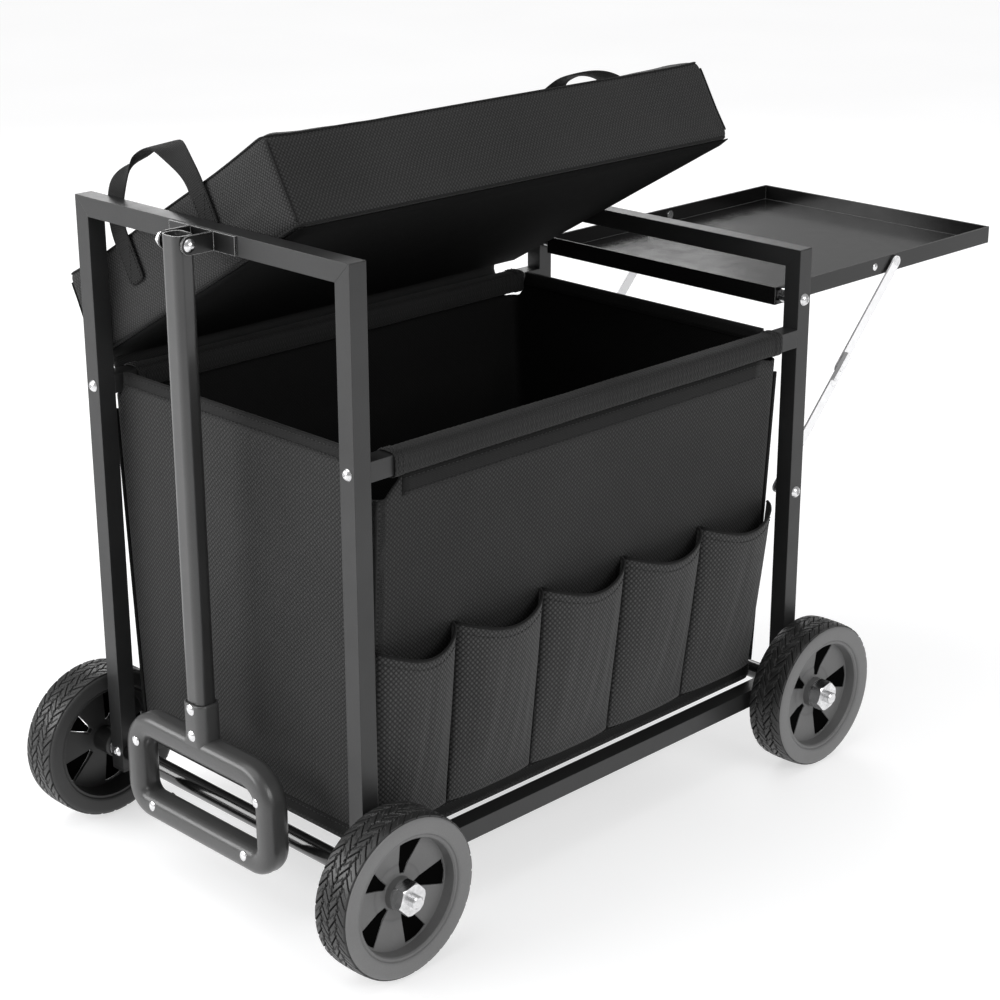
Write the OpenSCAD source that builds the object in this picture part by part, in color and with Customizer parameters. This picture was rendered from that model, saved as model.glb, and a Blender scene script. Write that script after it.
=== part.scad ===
// Rolling garden seat and kneeler cart: tall and low tube end frames, rails, a hanging
// storage bag with outside pockets, a hinged padded seat lid, a swing-out pull handle,
// a fold-down side tray with two-link braces, and four wheels.
// Millimetres. +X runs from the pull-handle end to the tray end, -Y is the pocket side,
// +Z is up. The origin is under the middle of the whole cart's box, on the floor.

/* [Frame] */
// Outside length over the two end frames
frame_len = 499; // [440:1:560]
// Outside width over the legs
frame_w = 309; // [270:1:340]
// Square tube size of the frame
tube = 15; // [12:0.5:20]
// Tube wall thickness
tube_wall = 1.2; // [0.8:0.1:2]
// Height of the tall end frame, at the pull handle
tall_h = 522; // [480:1:560]
// Height of the low end frame, at the tray
low_h = 448; // [420:1:480]
// Height of the legs' lower ends above the floor
leg_bottom = 50; // [44:1:52]
// Height of the top rails' centre line
rail_z = 374; // [360:1:390]
// Height of the bottom rails' centre line and the axles
low_rail_z = 63.5; // [60:0.5:70]

/* [Wheels] */
// Tyre diameter
wheel_d = 127; // [120:1:140]
// Tyre width
tyre_w = 34; // [28:1:40]
// Distance from the middle of the cart to a tyre's outer face
wheel_face = 196; // [192:1:200]
// Axle rod diameter
axle_d = 10; // [8:0.5:12]

/* [Seat lid] */
// Angle at which the lid stands open at rest
lid_open = 30; // [0:1:90]
// Seat cushion length
lid_len = 462; // [440:1:464]
// Seat cushion depth, from hinge side to front
lid_w = 286; // [280:1:292]
// Thickness of the padded cushion
cushion_t = 70; // [50:1:80]
// Thickness of the seat board
board_t = 3.4; // [3:0.1:8]

/* [Pull handle] */
// How far the handle is swung out from hanging
handle_swing = 0; // [0:1:115]
// Overall width of the grip loop
grip_w = 178; // [150:1:190]
// Height of the grip loop
grip_h = 90; // [80:1:110]

/* [Tray] */
// Tray width
tray_w = 260; // [230:1:262]
// Tray length, away from the frame
tray_len = 313; // [250:1:330]
// Height of the tray wall
tray_wall_h = 15; // [12:1:22]

/* [Bag] */
// Height of the bag's floor above the ground
bag_bottom = 71.5; // [60:1:80]
// Height of the pocket openings
pocket_top = 226; // [190:1:250]
// How far the pockets stand out at their mouths
pocket_depth = 20; // [12:1:26]

/* [View] */
// One node by name, or all of them

/* [Hidden] */
$fn = 64;
t = tube;
tw = tube_wall;
hx = frame_len/2;
hy = frame_w/2;
yl = hy - t/2;
xl = hx - t/2;
wr = wheel_d/2;
lid_x0 = -231.5;
lid_y = 146.2;
lid_z = rail_z + t/2 + 2.4;
piv_y = 158.5;
piv_z = 352.5;
hp_x = -hx - 22.5;
hp_z = tall_h - t/2;
tr_z = 405.8;
tr_in = 7.5;
br_z = 238.8;
br_r = 158.5;
br_a = atan2(tr_z - br_z + 0.6, br_r);
br_len = (tr_z - br_z + 0.6)/sin(br_a);
br_lo = (br_len + 8.4)/2;
br_up = br_len - br_lo;
br_w = 10;
seam = [-229.5, -151, -59.5, 32.5, 125, 214];
seamb = [-226, -153, -63.5, 25.5, 115.5, 206];
xmin = -xl - wr;
xmax = xl - tr_in + tray_len;
ox = (xmin + xmax)/2;

// ---- shared shapes ----
module shift() { translate([-ox, 0, 0]) children(); }

// square tube along X, Y or Z between two ends, centred on the other two axes
module tube_x(a, b, y, z) difference() {
  translate([a, y - t/2, z - t/2]) cube([b - a, t, t]);
  translate([a - 1, y - t/2 + tw, z - t/2 + tw]) cube([b - a + 2, t - 2*tw, t - 2*tw]);
}
module tube_y(a, b, x, z) difference() {
  translate([x - t/2, a, z - t/2]) cube([t, b - a, t]);
  translate([x - t/2 + tw, a - 1, z - t/2 + tw]) cube([t - 2*tw, b - a + 2, t - 2*tw]);
}
module tube_z(a, b, x, y) difference() {
  translate([x - t/2, y - t/2, a]) cube([t, t, b - a]);
  translate([x - t/2 + tw, y - t/2 + tw, a - 1]) cube([t - 2*tw, t - 2*tw, b - a + 2]);
}
// cylinder along X or Y
module rod_x(r, a, b, y, z) translate([a, y, z]) rotate([0, 90, 0]) cylinder(r = r, h = b - a);
module rod_y(r, a, b, x, z) translate([x, a, z]) rotate([-90, 0, 0]) cylinder(r = r, h = b - a);
// dome head standing up from z = 0
module dome(r, h) rotate_extrude() intersection() {
  translate([0, h - (r*r + h*h)/(2*h)]) circle(r = (r*r + h*h)/(2*h), $fn = 96);
  square([r, h]);
}
// half-space prism above the mitre line of a frame corner, s = side
module mitre_cut(x, top, s) translate([x - t, 0, 0]) rotate([90, 0, 90]) linear_extrude(2*t)
  polygon([[s*hy, top], [s*(hy - t), top - t], [s*(hy - t), top + 5], [s*(hy + 5), top + 5]]);
// mitre complement that trims the top bar's ends
module bar_cut(x, top, s) translate([x - t, 0, 0]) rotate([90, 0, 90]) linear_extrude(2*t)
  polygon([[s*hy, top], [s*(hy - t), top - t], [s*(hy - t), top - t - 5], [s*(hy + 5), top - t - 5], [s*(hy + 5), top]]);

module leg(x, s, top) difference() {
  tube_z(leg_bottom, top, x, s*yl);
  mitre_cut(x, top, s);
  rod_x(3.05, x - t, x + t, s*yl, rail_z);
  rod_y(axle_d/2 + 0.05, min(s*(hy - t - 1), s*(hy + 1)), max(s*(hy - t - 1), s*(hy + 1)), x, low_rail_z);
}

// ---- end frames ----
module tall_leg_near() color([0.07, 0.07, 0.075]) shift() leg(-xl, -1, tall_h);
module tall_leg_far() color([0.07, 0.07, 0.075]) shift() leg(-xl, 1, tall_h);
module tall_top_bar() color([0.07, 0.07, 0.075]) shift() difference() {
  tube_y(-hy, hy, -xl, tall_h - t/2);
  bar_cut(-xl, tall_h, 1);
  bar_cut(-xl, tall_h, -1);
}
module low_leg(s) difference() {
  leg(xl, s, low_h);
  rod_y(3.05, min(s*(hy - t - 1), s*(hy + 1)), max(s*(hy - t - 1), s*(hy + 1)), xl, tr_z);
  rod_y(3.05, min(s*(hy - t - 1), s*(hy + 1)), max(s*(hy - t - 1), s*(hy + 1)), xl, br_z);
}
module low_leg_near() color([0.07, 0.07, 0.075]) shift() low_leg(-1);
module low_leg_far() color([0.07, 0.07, 0.075]) shift() low_leg(1);
module low_top_bar() color([0.07, 0.07, 0.075]) shift() difference() {
  tube_y(-hy, hy, xl, low_h - t/2);
  bar_cut(xl, low_h, 1);
  bar_cut(xl, low_h, -1);
}

// ---- rails and axles ----
module top_rail_near() color([0.09, 0.09, 0.095]) shift() tube_x(-hx + t, hx - t, -yl, rail_z);
module top_rail_far() color([0.09, 0.09, 0.095]) shift() tube_x(-hx + t, hx - t, yl, rail_z);
module bottom_rail_near() color([0.09, 0.09, 0.095]) shift() tube_x(-hx + t, hx - t, -yl, low_rail_z);
module bottom_rail_far() color([0.09, 0.09, 0.095]) shift() tube_x(-hx + t, hx - t, yl, low_rail_z);
module axle_tubes() color([0.12, 0.12, 0.125]) shift() for (x = [-xl, xl]) difference() {
  rod_y(7.5, -hy + t, hy - t, x, low_rail_z);
  rod_y(6.2, -hy + t - 1, hy - t + 1, x, low_rail_z);
}
module axle_rods() color([0.72, 0.72, 0.74]) shift() for (x = [-xl, xl]) {
  rod_y(axle_d/2, -wheel_face - 7, wheel_face + 7, x, low_rail_z);
  for (s = [-1, 1]) translate([x, s*(wheel_face + 7), low_rail_z]) rotate([-s*90, 0, 0]) cylinder(r1 = axle_d/2, r2 = axle_d/2 - 1, h = 1);
}
module axle_nuts() color([0.74, 0.75, 0.76]) shift() for (x = [-xl, xl], s = [-1, 1])
  translate([x, s*(wheel_face - 8.2), low_rail_z]) rotate([-s*90, 0, 0]) intersection() {
    difference() {
      rotate([0, 0, 12]) cylinder(r = 13.2, h = 10.6, $fn = 6);
      translate([0, 0, -1]) cylinder(r = axle_d/2, h = 13);
    }
    translate([0, 0, -0.01]) rotate_extrude() polygon([[0, 0], [12.2, 0], [13.3, 1], [13.3, 9.4], [12, 10.62], [0, 10.62]]);
  }
// spacer between leg and wheel hub
module axle_washers() color([0.7, 0.71, 0.72]) shift() for (x = [-xl, xl], s = [-1, 1])
  translate([x, s*(hy + 0.1), low_rail_z]) rotate([-s*90, 0, 0]) difference() {
    cylinder(r = 8.5, h = 2.2);
    translate([0, 0, -1]) cylinder(r = axle_d/2 + 0.03, h = 5);
  }
module leg_caps() color([0.05, 0.05, 0.05]) shift() for (x = [-xl, xl], s = [-1, 1]) translate([x, s*yl, leg_bottom]) {
  translate([-t/2, -t/2, -3]) cube([t, t, 3]);
  translate([-t/2 + tw + 0.1, -t/2 + tw + 0.1, -0.5]) cube([t - 2*tw - 0.2, t - 2*tw - 0.2, 6.5]);
}
// threaded plugs inside the rail ends
module rail_plugs() color([0.1, 0.1, 0.1]) shift() for (sx = [-1, 1], s = [-1, 1])
  difference() {
    translate([sx*(hx - t - 8.1) - 8, s*yl - t/2 + tw + 0.1, rail_z - t/2 + tw + 0.1]) cube([16, t - 2*tw - 0.2, t - 2*tw - 0.2]);
    rod_x(3, sx*(hx - t - 8) - 9, sx*(hx - t - 8) + 9, s*yl, rail_z);
  }
module rail_bolts() color([0.78, 0.79, 0.8]) shift() for (sx = [-1, 1], s = [-1, 1])
  translate([sx*hx, s*yl, rail_z]) rotate([0, sx*90, 0]) union() {
    difference() {
      dome(4.8, 2.8);
      translate([0, 0, 1.4]) cylinder(r = 1.9, h = 3, $fn = 6);
    }
    translate([0, 0, -28]) cylinder(r = 3, h = 28.01);
  }
module lower_screws() color([0.78, 0.79, 0.8]) shift() for (sx = [-1, 1], s = [-1, 1])
  translate([sx*hx, s*yl, low_rail_z]) rotate([0, sx*90, 0]) union() {
    difference() {
      dome(4.4, 2.6);
      translate([0, 0, 1.3]) cylinder(r = 1.7, h = 3, $fn = 6);
    }
  }

// ---- storage bag ----
bag_x0 = -228.5;
bag_x1 = 214;
fab = 2.5;
module bag_block(g, zb, zt) hull() {
  translate([bag_x0 + 1 + g, -137 + g, zb]) cube([bag_x1 - bag_x0 - 2 - 2*g, 274 - 2*g, 0.1]);
  translate([bag_x0 + g, -153 + g, zt - 0.1]) cube([bag_x1 - bag_x0 - 2*g, 306 - 2*g, 0.1]);
}
module bag_shell() color([0.08, 0.08, 0.085]) shift() union() {
  difference() {
    bag_block(0, bag_bottom, rail_z - t/2 - 1.7);
    bag_block(fab, bag_bottom + fab, rail_z - t/2 + 5);
  }
  for (x = [bag_x0, bag_x1 - fab]) translate([x, -136.8, rail_z - t/2 - 2]) cube([fab, 273.6, t + 3.2]);
}
module bag_base_board() color([0.15, 0.13, 0.11]) shift()
  translate([bag_x0 + 6, -132, bag_bottom + fab + 0.2]) cube([bag_x1 - bag_x0 - 12, 264, 3]);
module sleeve(s) difference() {
  translate([-213.5, s*yl - 9.2, rail_z - 9.2]) cube([427, 18.4, 18.4]);
  translate([-214.5, s*yl - 7.7, rail_z - 7.7]) cube([429, 15.4, 15.4]);
}
module sleeve_near() color([0.1, 0.1, 0.105]) shift() sleeve(-1);
module sleeve_far() color([0.1, 0.1, 0.105]) shift() sleeve(1);
// sewn strip on the bag's back that carries the lid's fabric hinge
module hinge_strip() color([0.08, 0.08, 0.085]) shift() translate([lid_x0 + 18, 0, 0]) rotate([90, 0, 90]) linear_extrude(lid_len - 36)
  polygon([[-wall_y(piv_z - 20), piv_z - 20], [153.4, piv_z - 20], [159.2, piv_z - 6], [159.2, piv_z - 1.1], [157.2, piv_z - 1.1], [157.2, piv_z - 5.4], [-wall_y(piv_z - 16.5), piv_z - 16.5]]);
// y of the near wall's outer face at height z
function wall_y(z) = -137 - 16*(z - bag_bottom)/(rail_z - t/2 - 1.8 - bag_bottom);
module pocket_form(i, g, zb, zt, back) hull() {
  translate([0, 0, zb]) linear_extrude(0.1) polygon([
    [seamb[i] + 5 + g, wall_y(zb) + back], [seamb[i] + 12 + g, wall_y(zb) - 6 + g],
    [seamb[i+1] - 12 - g, wall_y(zb) - 6 + g], [seamb[i+1] - 5 - g, wall_y(zb) + back]]);
  translate([0, 0, zt - 0.1]) linear_extrude(0.1) polygon([
    [seam[i] + 1 + g, wall_y(zt) + back], [seam[i] + 13 + g, wall_y(zt) - pocket_depth + g],
    [seam[i+1] - 13 - g, wall_y(zt) - pocket_depth + g], [seam[i+1] - 1 - g, wall_y(zt) + back]]);
}
module pocket(i) difference() {
  pocket_form(i, 0, 88, pocket_top, -0.2);
  pocket_form(i, 2, 90, pocket_top + 4, 3);
}
module pocket_1() color([0.11, 0.11, 0.115]) shift() pocket(0);
module pocket_2() color([0.11, 0.11, 0.115]) shift() pocket(1);
module pocket_3() color([0.11, 0.11, 0.115]) shift() pocket(2);
module pocket_4() color([0.11, 0.11, 0.115]) shift() pocket(3);
module pocket_5() color([0.11, 0.11, 0.115]) shift() pocket(4);

// ---- seat lid, drawn closed and turned open about the flap's seam ----
module lid_pose() translate([0, piv_y, piv_z]) rotate([-lid_open, 0, 0]) translate([0, -piv_y, -piv_z]) children();
module seat_cushion() color([0.07, 0.07, 0.075]) shift() lid_pose()
  translate([lid_x0, lid_y - lid_w, lid_z + board_t]) cube([lid_len, lid_w, cushion_t]);
module seat_board() color([0.12, 0.11, 0.1]) shift() lid_pose()
  translate([lid_x0 + 3, lid_y - lid_w + 1.5, lid_z]) cube([lid_len - 6, lid_w - 3, board_t]);
module hinge_flap() color([0.08, 0.08, 0.085]) shift() lid_pose()
  translate([lid_x0 + 20, 0, 0]) rotate([90, 0, 90]) linear_extrude(lid_len - 40)
    polygon([[157.2, piv_z], [159.2, piv_z], [159.2, lid_z + 2.2], [lid_y + 1.8, lid_z + 2.2], [lid_y + 1.8, lid_z + 26], [lid_y, lid_z + 26], [lid_y, lid_z + 0.2], [157.2, lid_z + 0.2]]);
// webbing carry loop: outline in the lid's end plane, measured from the hinge edge (b) and up from the lid's base (n)
module strap(x) translate([x, 0, 0]) rotate([90, 0, 90]) linear_extrude(2)
  difference() {
    polygon([[lid_y - 75, lid_z + 34], [lid_y - 95, lid_z + 34], [lid_y - 97, lid_z + 98], [lid_y - 106, lid_z + 107],
      [lid_y - 177, lid_z + 107], [lid_y - 186, lid_z + 98], [lid_y - 188, lid_z + 34], [lid_y - 208, lid_z + 34],
      [lid_y - 203, lid_z + 108], [lid_y - 184, lid_z + 122], [lid_y - 99, lid_z + 122], [lid_y - 80, lid_z + 108]]);
  }
module strap_left() color([0.06, 0.06, 0.06]) shift() lid_pose() strap(lid_x0 - 2.2);
module strap_right() color([0.06, 0.06, 0.06]) shift() lid_pose() strap(lid_x0 + lid_len + 0.2);

// ---- pull handle ----
module handle_pose() translate([hp_x, 0, hp_z]) rotate([0, handle_swing, 0]) translate([-hp_x, 0, -hp_z]) children();
module handle_bracket() color([0.06, 0.06, 0.065]) shift() difference() {
  union() {
    translate([-hx - 1.8, -37, hp_z - 7]) cube([1.8, 74, 14]);
    for (s = [-1, 1]) translate([0, s*12.9, 0]) {
      translate([hp_x, -0.8, hp_z - 7]) cube([-hx - hp_x - 1.8, 1.6, 14]);
      rod_y(7, -0.8, 0.8, hp_x, hp_z);
    }
  }
  rod_y(3.03, -20, 20, hp_x, hp_z);
}
module handle_bolt() color([0.78, 0.79, 0.8]) shift() union() {
  rod_y(3, -14.2, 17, hp_x, hp_z);
  translate([hp_x, -13.7, hp_z]) rotate([90, 0, 0]) dome(5.2, 3.4);
  translate([hp_x, 13.8, hp_z]) rotate([-90, 0, 0]) intersection() {
    cylinder(r = 5.7, h = 4.6, $fn = 6);
    cylinder(r = 5.5, h = 4.6);
  }
}
// tube outline: flattened with round corners, exact arcs
module tube_2d(wx, wy, r) {
  square([wx - 2*r, wy], center = true);
  square([wx, wy - 2*r], center = true);
  for (i = [-1, 1], j = [-1, 1]) translate([i*(wx/2 - r), j*(wy/2 - r)]) circle(r = r, $fn = 48);
}
module handle_tube() color([0.1, 0.1, 0.105]) shift() handle_pose() difference() {
  translate([hp_x, 0, 152]) linear_extrude(tall_h - 152 - 1) tube_2d(17, 20, 6);
  translate([hp_x, 0, 151]) linear_extrude(tall_h - 150) tube_2d(14.6, 17.6, 4.8);
  rod_y(3.08, -12, 12, hp_x, hp_z);
}
// grip loop outline in Y and Z
gz0 = 46;
module loop_2d(g, rt, rb) {
  a = grip_w/2 - g;
  difference() {
    union() {
      translate([-a, gz0 + g + rb]) square([2*a, grip_h - 2*g - rb - rt]);
      translate([-a + rb, gz0 + g]) square([2*a - 2*rb, rb + 1]);
      translate([-a + rt, gz0 + grip_h - g - rt - 1]) square([2*a - 2*rt, rt + 1]);
      for (s = [-1, 1]) {
        translate([s*(a - rb), gz0 + g + rb]) circle(r = rb);
        translate([s*(a - rt), gz0 + grip_h - g - rt]) circle(r = rt);
      }
    }
  }
}
module grip_half(s) difference() {
  union() {
    // stepped outline stands in for the rounded section
    translate([hp_x + (s < 0 ? -10.2 : 0.05), 0, 0]) rotate([90, 0, 90]) linear_extrude(10.15) difference() {
      loop_2d(0, 34, 26);
      loop_2d(20.5, 15, 14);
    }
    // socket that takes the tube
    translate([hp_x, 0, 131]) intersection() {
      linear_extrude(34) tube_2d(21.4, 24.4, 8);
      translate([s < 0 ? -20 : 0.05, -20, 0]) cube([19.95, 40, 40]);
    }
  }
  translate([hp_x, 0, 151.8]) linear_extrude(20) tube_2d(17.04, 20.04, 6);
  for (p = [[0, 160.5], [0, 139]]) rod_x(2.4, hp_x - 15, hp_x + 15, p[0], p[1]);
  for (q = [-1, 1]) { rod_x(2.4, hp_x - 15, hp_x + 15, q*73.5, 110); rod_x(2.4, hp_x - 15, hp_x + 15, q*56, 59); }
}
module grip_front() color([0.13, 0.13, 0.135]) shift() handle_pose() grip_half(-1);
module grip_back() color([0.13, 0.13, 0.135]) shift() handle_pose() grip_half(1);
module grip_rivets() color([0.85, 0.86, 0.87]) shift() handle_pose()
  for (p = [[0, 160.5, 10.7], [0, 139, 10.7], [73.5, 110, 10.2], [-73.5, 110, 10.2], [56, 59, 10.2], [-56, 59, 10.2]]) {
    if (p[1] != 160.5) rod_x(2.35, hp_x - p[2], hp_x + p[2], p[0], p[1]);
    else for (s = [-1, 1]) rod_x(2.35, hp_x + (s < 0 ? -p[2] : 8.7), hp_x + (s < 0 ? -8.7 : p[2]), p[0], p[1]);
    for (s = [-1, 1]) translate([hp_x + s*p[2], p[0], p[1]]) rotate([0, s*90, 0]) dome(4.6, 1.9);
  }

// ---- side tray and its braces ----
tx0 = xl - tr_in;
module side_tray() color([0.09, 0.09, 0.095]) shift() difference() {
  translate([tx0, -tray_w/2, tr_z - 7.8]) cube([tray_len, tray_w, tray_wall_h]);
  translate([tx0 + 1.5, -tray_w/2 + 1.5, tr_z - 7.8 + 1.5]) cube([tray_len - 3, tray_w - 3, tray_wall_h]);
  rod_y(3.06, -tray_w/2 - 2, tray_w/2 + 2, xl, tr_z);
  for (s = [-1, 1]) {
    rod_y(2.5, min(s*(tray_w/2 - 3), s*(tray_w/2 + 2)), max(s*(tray_w/2 - 3), s*(tray_w/2 + 2)), xl + br_r, tr_z + 0.6);
    rod_y(2.2, min(s*(tray_w/2 - 3), s*(tray_w/2 + 2)), max(s*(tray_w/2 - 3), s*(tray_w/2 + 2)), xl + br_r - 27.5, tr_z);
  }
}
module tray_bolts() color([0.78, 0.79, 0.8]) shift() for (s = [-1, 1])
  translate([xl, s*hy, tr_z]) rotate([-s*90, 0, 0]) union() {
    difference() {
      dome(5.4, 3.4);
      translate([0, 0, 1.6]) cylinder(r = 2, h = 3, $fn = 6);
    }
    translate([0, 0, -t - 13.4]) cylinder(r = 3, h = t + 13.41);
    difference() {
      translate([0, 0, -t - 9.1]) cylinder(r = 5.6, h = 9.1);
      translate([0, 0, -t - 10]) cylinder(r = 2.9, h = 11);
    }
  }
// rivets and spacers that carry each upper link on the tray, and a second wall rivet
module tray_rivets() color([0.85, 0.86, 0.87]) shift() for (s = [-1, 1]) {
  translate([xl + br_r, s*tray_w/2, tr_z + 0.6]) rotate([-s*90, 0, 0]) union() {
    cylinder(r = 4.4, h = 1.5);
    translate([0, 0, -2.4]) cylinder(r = 2.45, h = 5.7);
    translate([0, 0, 3.26]) cylinder(r = 3.6, h = 0.28);
    translate([0, 0, -2.7]) cylinder(r = 4, h = 1.1);
  }
  translate([xl + br_r - 27.5, s*tray_w/2, tr_z]) rotate([-s*90, 0, 0]) union() {
    translate([0, 0, -2.4]) cylinder(r = 2.15, h = 2.5);
    dome(3.4, 1.3);
    translate([0, 0, -2.7]) cylinder(r = 3.6, h = 1.1);
  }
}
module brace_bolts() color([0.78, 0.79, 0.8]) shift() for (s = [-1, 1])
  translate([xl, s*hy, br_z]) rotate([-s*90, 0, 0]) union() {
    difference() {
      dome(5.2, 3.2);
      translate([0, 0, 1.5]) cylinder(r = 2, h = 3, $fn = 6);
    }
    translate([0, 0, -t - 6]) cylinder(r = 3, h = t + 6.01);
    difference() {
      translate([0, 0, -t - 4.1]) cylinder(r = 4.6, h = 4.1);
      translate([0, 0, -t - 5]) cylinder(r = 2.9, h = 6);
    }
  }
// flat strip link from the origin along +X, rounded ends, 1.6 thick
module link(len, r0) difference() {
  union() {
    cylinder(r = br_w/2, h = 1.6);
    translate([len, 0, 0]) cylinder(r = br_w/2, h = 1.6);
    translate([0, -br_w/2, 0]) cube([len, br_w, 1.6]);
  }
  translate([0, 0, -1]) cylinder(r = r0, h = 4);
}
// puts a link drawn flat into the near brace's plane, local +Z towards the cart's outside
module near_brace(x, z, a, y) translate([x, -y, z]) rotate([0, -a, 0]) rotate([90, 0, 0]) children();
module lower_link() near_brace(xl, br_z, br_a, hy - t - 5.9) union() {
  difference() {
    link(br_lo, 3.06);
    translate([br_lo, 0, -1]) cylinder(r = 2.3, h = 4);
  }
  // flush knee rivet, stop rivet with a round head, and the turned-out stop flange
  translate([br_lo, 0, 0]) cylinder(r = 2.3, h = 1.9);
  translate([br_lo - 13.6, 0, 1.6]) dome(3.9, 1.5);
  translate([br_lo - 14, br_w/2 - 1.4, 0]) cube([28, 1.4, 4]);
  translate([br_lo - 2, -br_w/2, 0]) cube([16, br_w, 1.6]);
}
module upper_link() near_brace(xl + br_r, tr_z + 0.6, br_a + 180, hy - t - 7.9) difference() {
  link(br_up, 2.52);
  translate([br_up, 0, -1]) cylinder(r = 2.4, h = 4);
}
module brace_lower_near() color([0.78, 0.79, 0.8]) shift() lower_link();
module brace_lower_far() color([0.78, 0.79, 0.8]) shift() mirror([0, 1, 0]) lower_link();
module brace_upper_near() color([0.8, 0.81, 0.82]) shift() upper_link();
module brace_upper_far() color([0.8, 0.81, 0.82]) shift() mirror([0, 1, 0]) upper_link();

// ---- wheels, drawn about +Z with the outer face up at z = tyre_w ----
module wheel_at(sx, s) translate([sx*xl, s*(wheel_face - tyre_w), low_rail_z]) rotate([-s*90, 0, 0]) children();
module tyre() rotate_extrude($fn = 96) polygon([[wr - 15.2, 1.5], [wr - 13.5, 0.3], [wr - 4, 0], [wr - 2, 0.9], [wr - 0.7, 3.2], [wr, 8],
  [wr, tyre_w - 8], [wr - 0.7, tyre_w - 3.2], [wr - 2, tyre_w - 0.9], [wr - 4, tyre_w], [wr - 13.5, tyre_w - 0.3], [wr - 15.2, tyre_w - 1.5]]);
// rim, dished disc with wedge slots, and hub with its bore
module centre() rotate([0, 0, -34]) difference() {
  rotate_extrude($fn = 96) polygon([[0, -5], [9, -5], [10.5, -3.5], [10.5, 14.5], [22, 15.5], [44.2, 18.5], [46.2, 4], [46.2, 1.8], [wr - 15.2, 1.8],
    [wr - 15.2, tyre_w - 1.8], [46.2, tyre_w - 1.8], [45.2, tyre_w - 3], [44.4, 22.5], [22, 19.5], [12.8, 20.3], [12.3, tyre_w - 8.6], [0, tyre_w - 8.6]]);
  translate([0, 0, -6]) cylinder(r = axle_d/2 + 0.06, h = tyre_w + 8);
  for (i = [0:4]) rotate([0, 0, 72*i + 36]) translate([0, 0, 10]) linear_extrude(16)
    polygon([[14.6, -2.2], [14.6, 2.2], [41.8, 10.6], [43.2, 5], [43.8, 0], [43.2, -5], [41.8, -10.6]]);
}
module tyre_near_left() color([0.05, 0.05, 0.05]) shift() wheel_at(-1, -1) tyre();
module tyre_far_left() color([0.05, 0.05, 0.05]) shift() wheel_at(-1, 1) tyre();
module tyre_near_right() color([0.05, 0.05, 0.05]) shift() wheel_at(1, -1) tyre();
module tyre_far_right() color([0.05, 0.05, 0.05]) shift() wheel_at(1, 1) tyre();
module centre_near_left() color([0.16, 0.16, 0.165]) shift() wheel_at(-1, -1) centre();
module centre_far_left() color([0.16, 0.16, 0.165]) shift() wheel_at(-1, 1) centre();
module centre_near_right() color([0.16, 0.16, 0.165]) shift() wheel_at(1, -1) centre();
module centre_far_right() color([0.16, 0.16, 0.165]) shift() wheel_at(1, 1) centre();

tall_leg_near();
tall_leg_far();
tall_top_bar();
low_leg_near();
low_leg_far();
low_top_bar();
top_rail_near();
top_rail_far();
bottom_rail_near();
bottom_rail_far();
axle_tubes();
axle_rods();
axle_nuts();
axle_washers();
leg_caps();
rail_plugs();
rail_bolts();
lower_screws();
bag_shell();
bag_base_board();
hinge_strip();
sleeve_near();
sleeve_far();
pocket_1();
pocket_2();
pocket_3();
pocket_4();
pocket_5();
seat_cushion();
seat_board();
hinge_flap();
strap_left();
strap_right();
handle_bracket();
handle_bolt();
handle_tube();
grip_front();
grip_back();
grip_rivets();
side_tray();
tray_bolts();
tray_rivets();
brace_bolts();
brace_lower_near();
brace_lower_far();
brace_upper_near();
brace_upper_far();
tyre_near_left();
centre_near_left();
tyre_far_left();
centre_far_left();
tyre_near_right();
centre_near_right();
tyre_far_right();
centre_far_right();
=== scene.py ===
import bpy, bmesh, math
import numpy as np
from mathutils import Vector, Matrix
from mathutils.bvhtree import BVHTree


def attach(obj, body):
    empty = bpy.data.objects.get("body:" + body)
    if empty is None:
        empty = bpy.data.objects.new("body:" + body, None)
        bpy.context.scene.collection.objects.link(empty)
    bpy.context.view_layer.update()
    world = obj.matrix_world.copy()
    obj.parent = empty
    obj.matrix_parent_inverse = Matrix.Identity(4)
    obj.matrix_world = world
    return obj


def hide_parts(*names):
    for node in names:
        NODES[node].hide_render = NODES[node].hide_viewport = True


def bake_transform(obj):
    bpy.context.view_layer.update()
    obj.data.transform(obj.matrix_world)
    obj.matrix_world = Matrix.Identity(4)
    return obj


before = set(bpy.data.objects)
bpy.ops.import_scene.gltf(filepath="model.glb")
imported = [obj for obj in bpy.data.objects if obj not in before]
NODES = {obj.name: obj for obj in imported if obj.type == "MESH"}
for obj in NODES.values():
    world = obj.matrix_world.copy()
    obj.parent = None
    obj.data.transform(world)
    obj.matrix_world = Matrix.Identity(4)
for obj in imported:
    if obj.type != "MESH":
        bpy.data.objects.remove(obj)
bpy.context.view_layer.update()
scene = bpy.context.scene
OX = 121.0                      # the row frame's origin in the cart's own x, mm


def P(x, y, z):
    return ((x - OX) / 1000.0, y / 1000.0, z / 1000.0)


# ------------------------------------------------------------------ sizes (mm, as in the CAD)
HX, HY, T = 249.5, 154.5, 15.0
XL, YL = 242.0, 147.0
RAIL_Z, LOW_Z = 374.0, 63.5
LID_Y, LID_Z, LID_X0, LID_LEN, LID_W = 146.2, 383.9, -231.5, 462.0, 286.0
PIV_Y, PIV_Z, OPEN = 158.5, 352.5, math.radians(30)
HPX, HPZ = -272.0, 514.5
SEAM = [-229.5, -151, -59.5, 32.5, 125, 214]
SEAMB = [-226, -153, -63.5, 25.5, 115.5, 206]
BAG_X0, BAG_X1, BAG_Z = -228.5, 214.0, 71.5
BAG_TOP = 364.6


def lid_rest(v):
    """closed-lid millimetres to the open rest pose, millimetres"""
    x, y, z = v
    dy, dz = y - PIV_Y, z - PIV_Z
    c, s = math.cos(-OPEN), math.sin(-OPEN)
    return (x, PIV_Y + dy * c - dz * s, PIV_Z + dy * s + dz * c)


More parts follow.
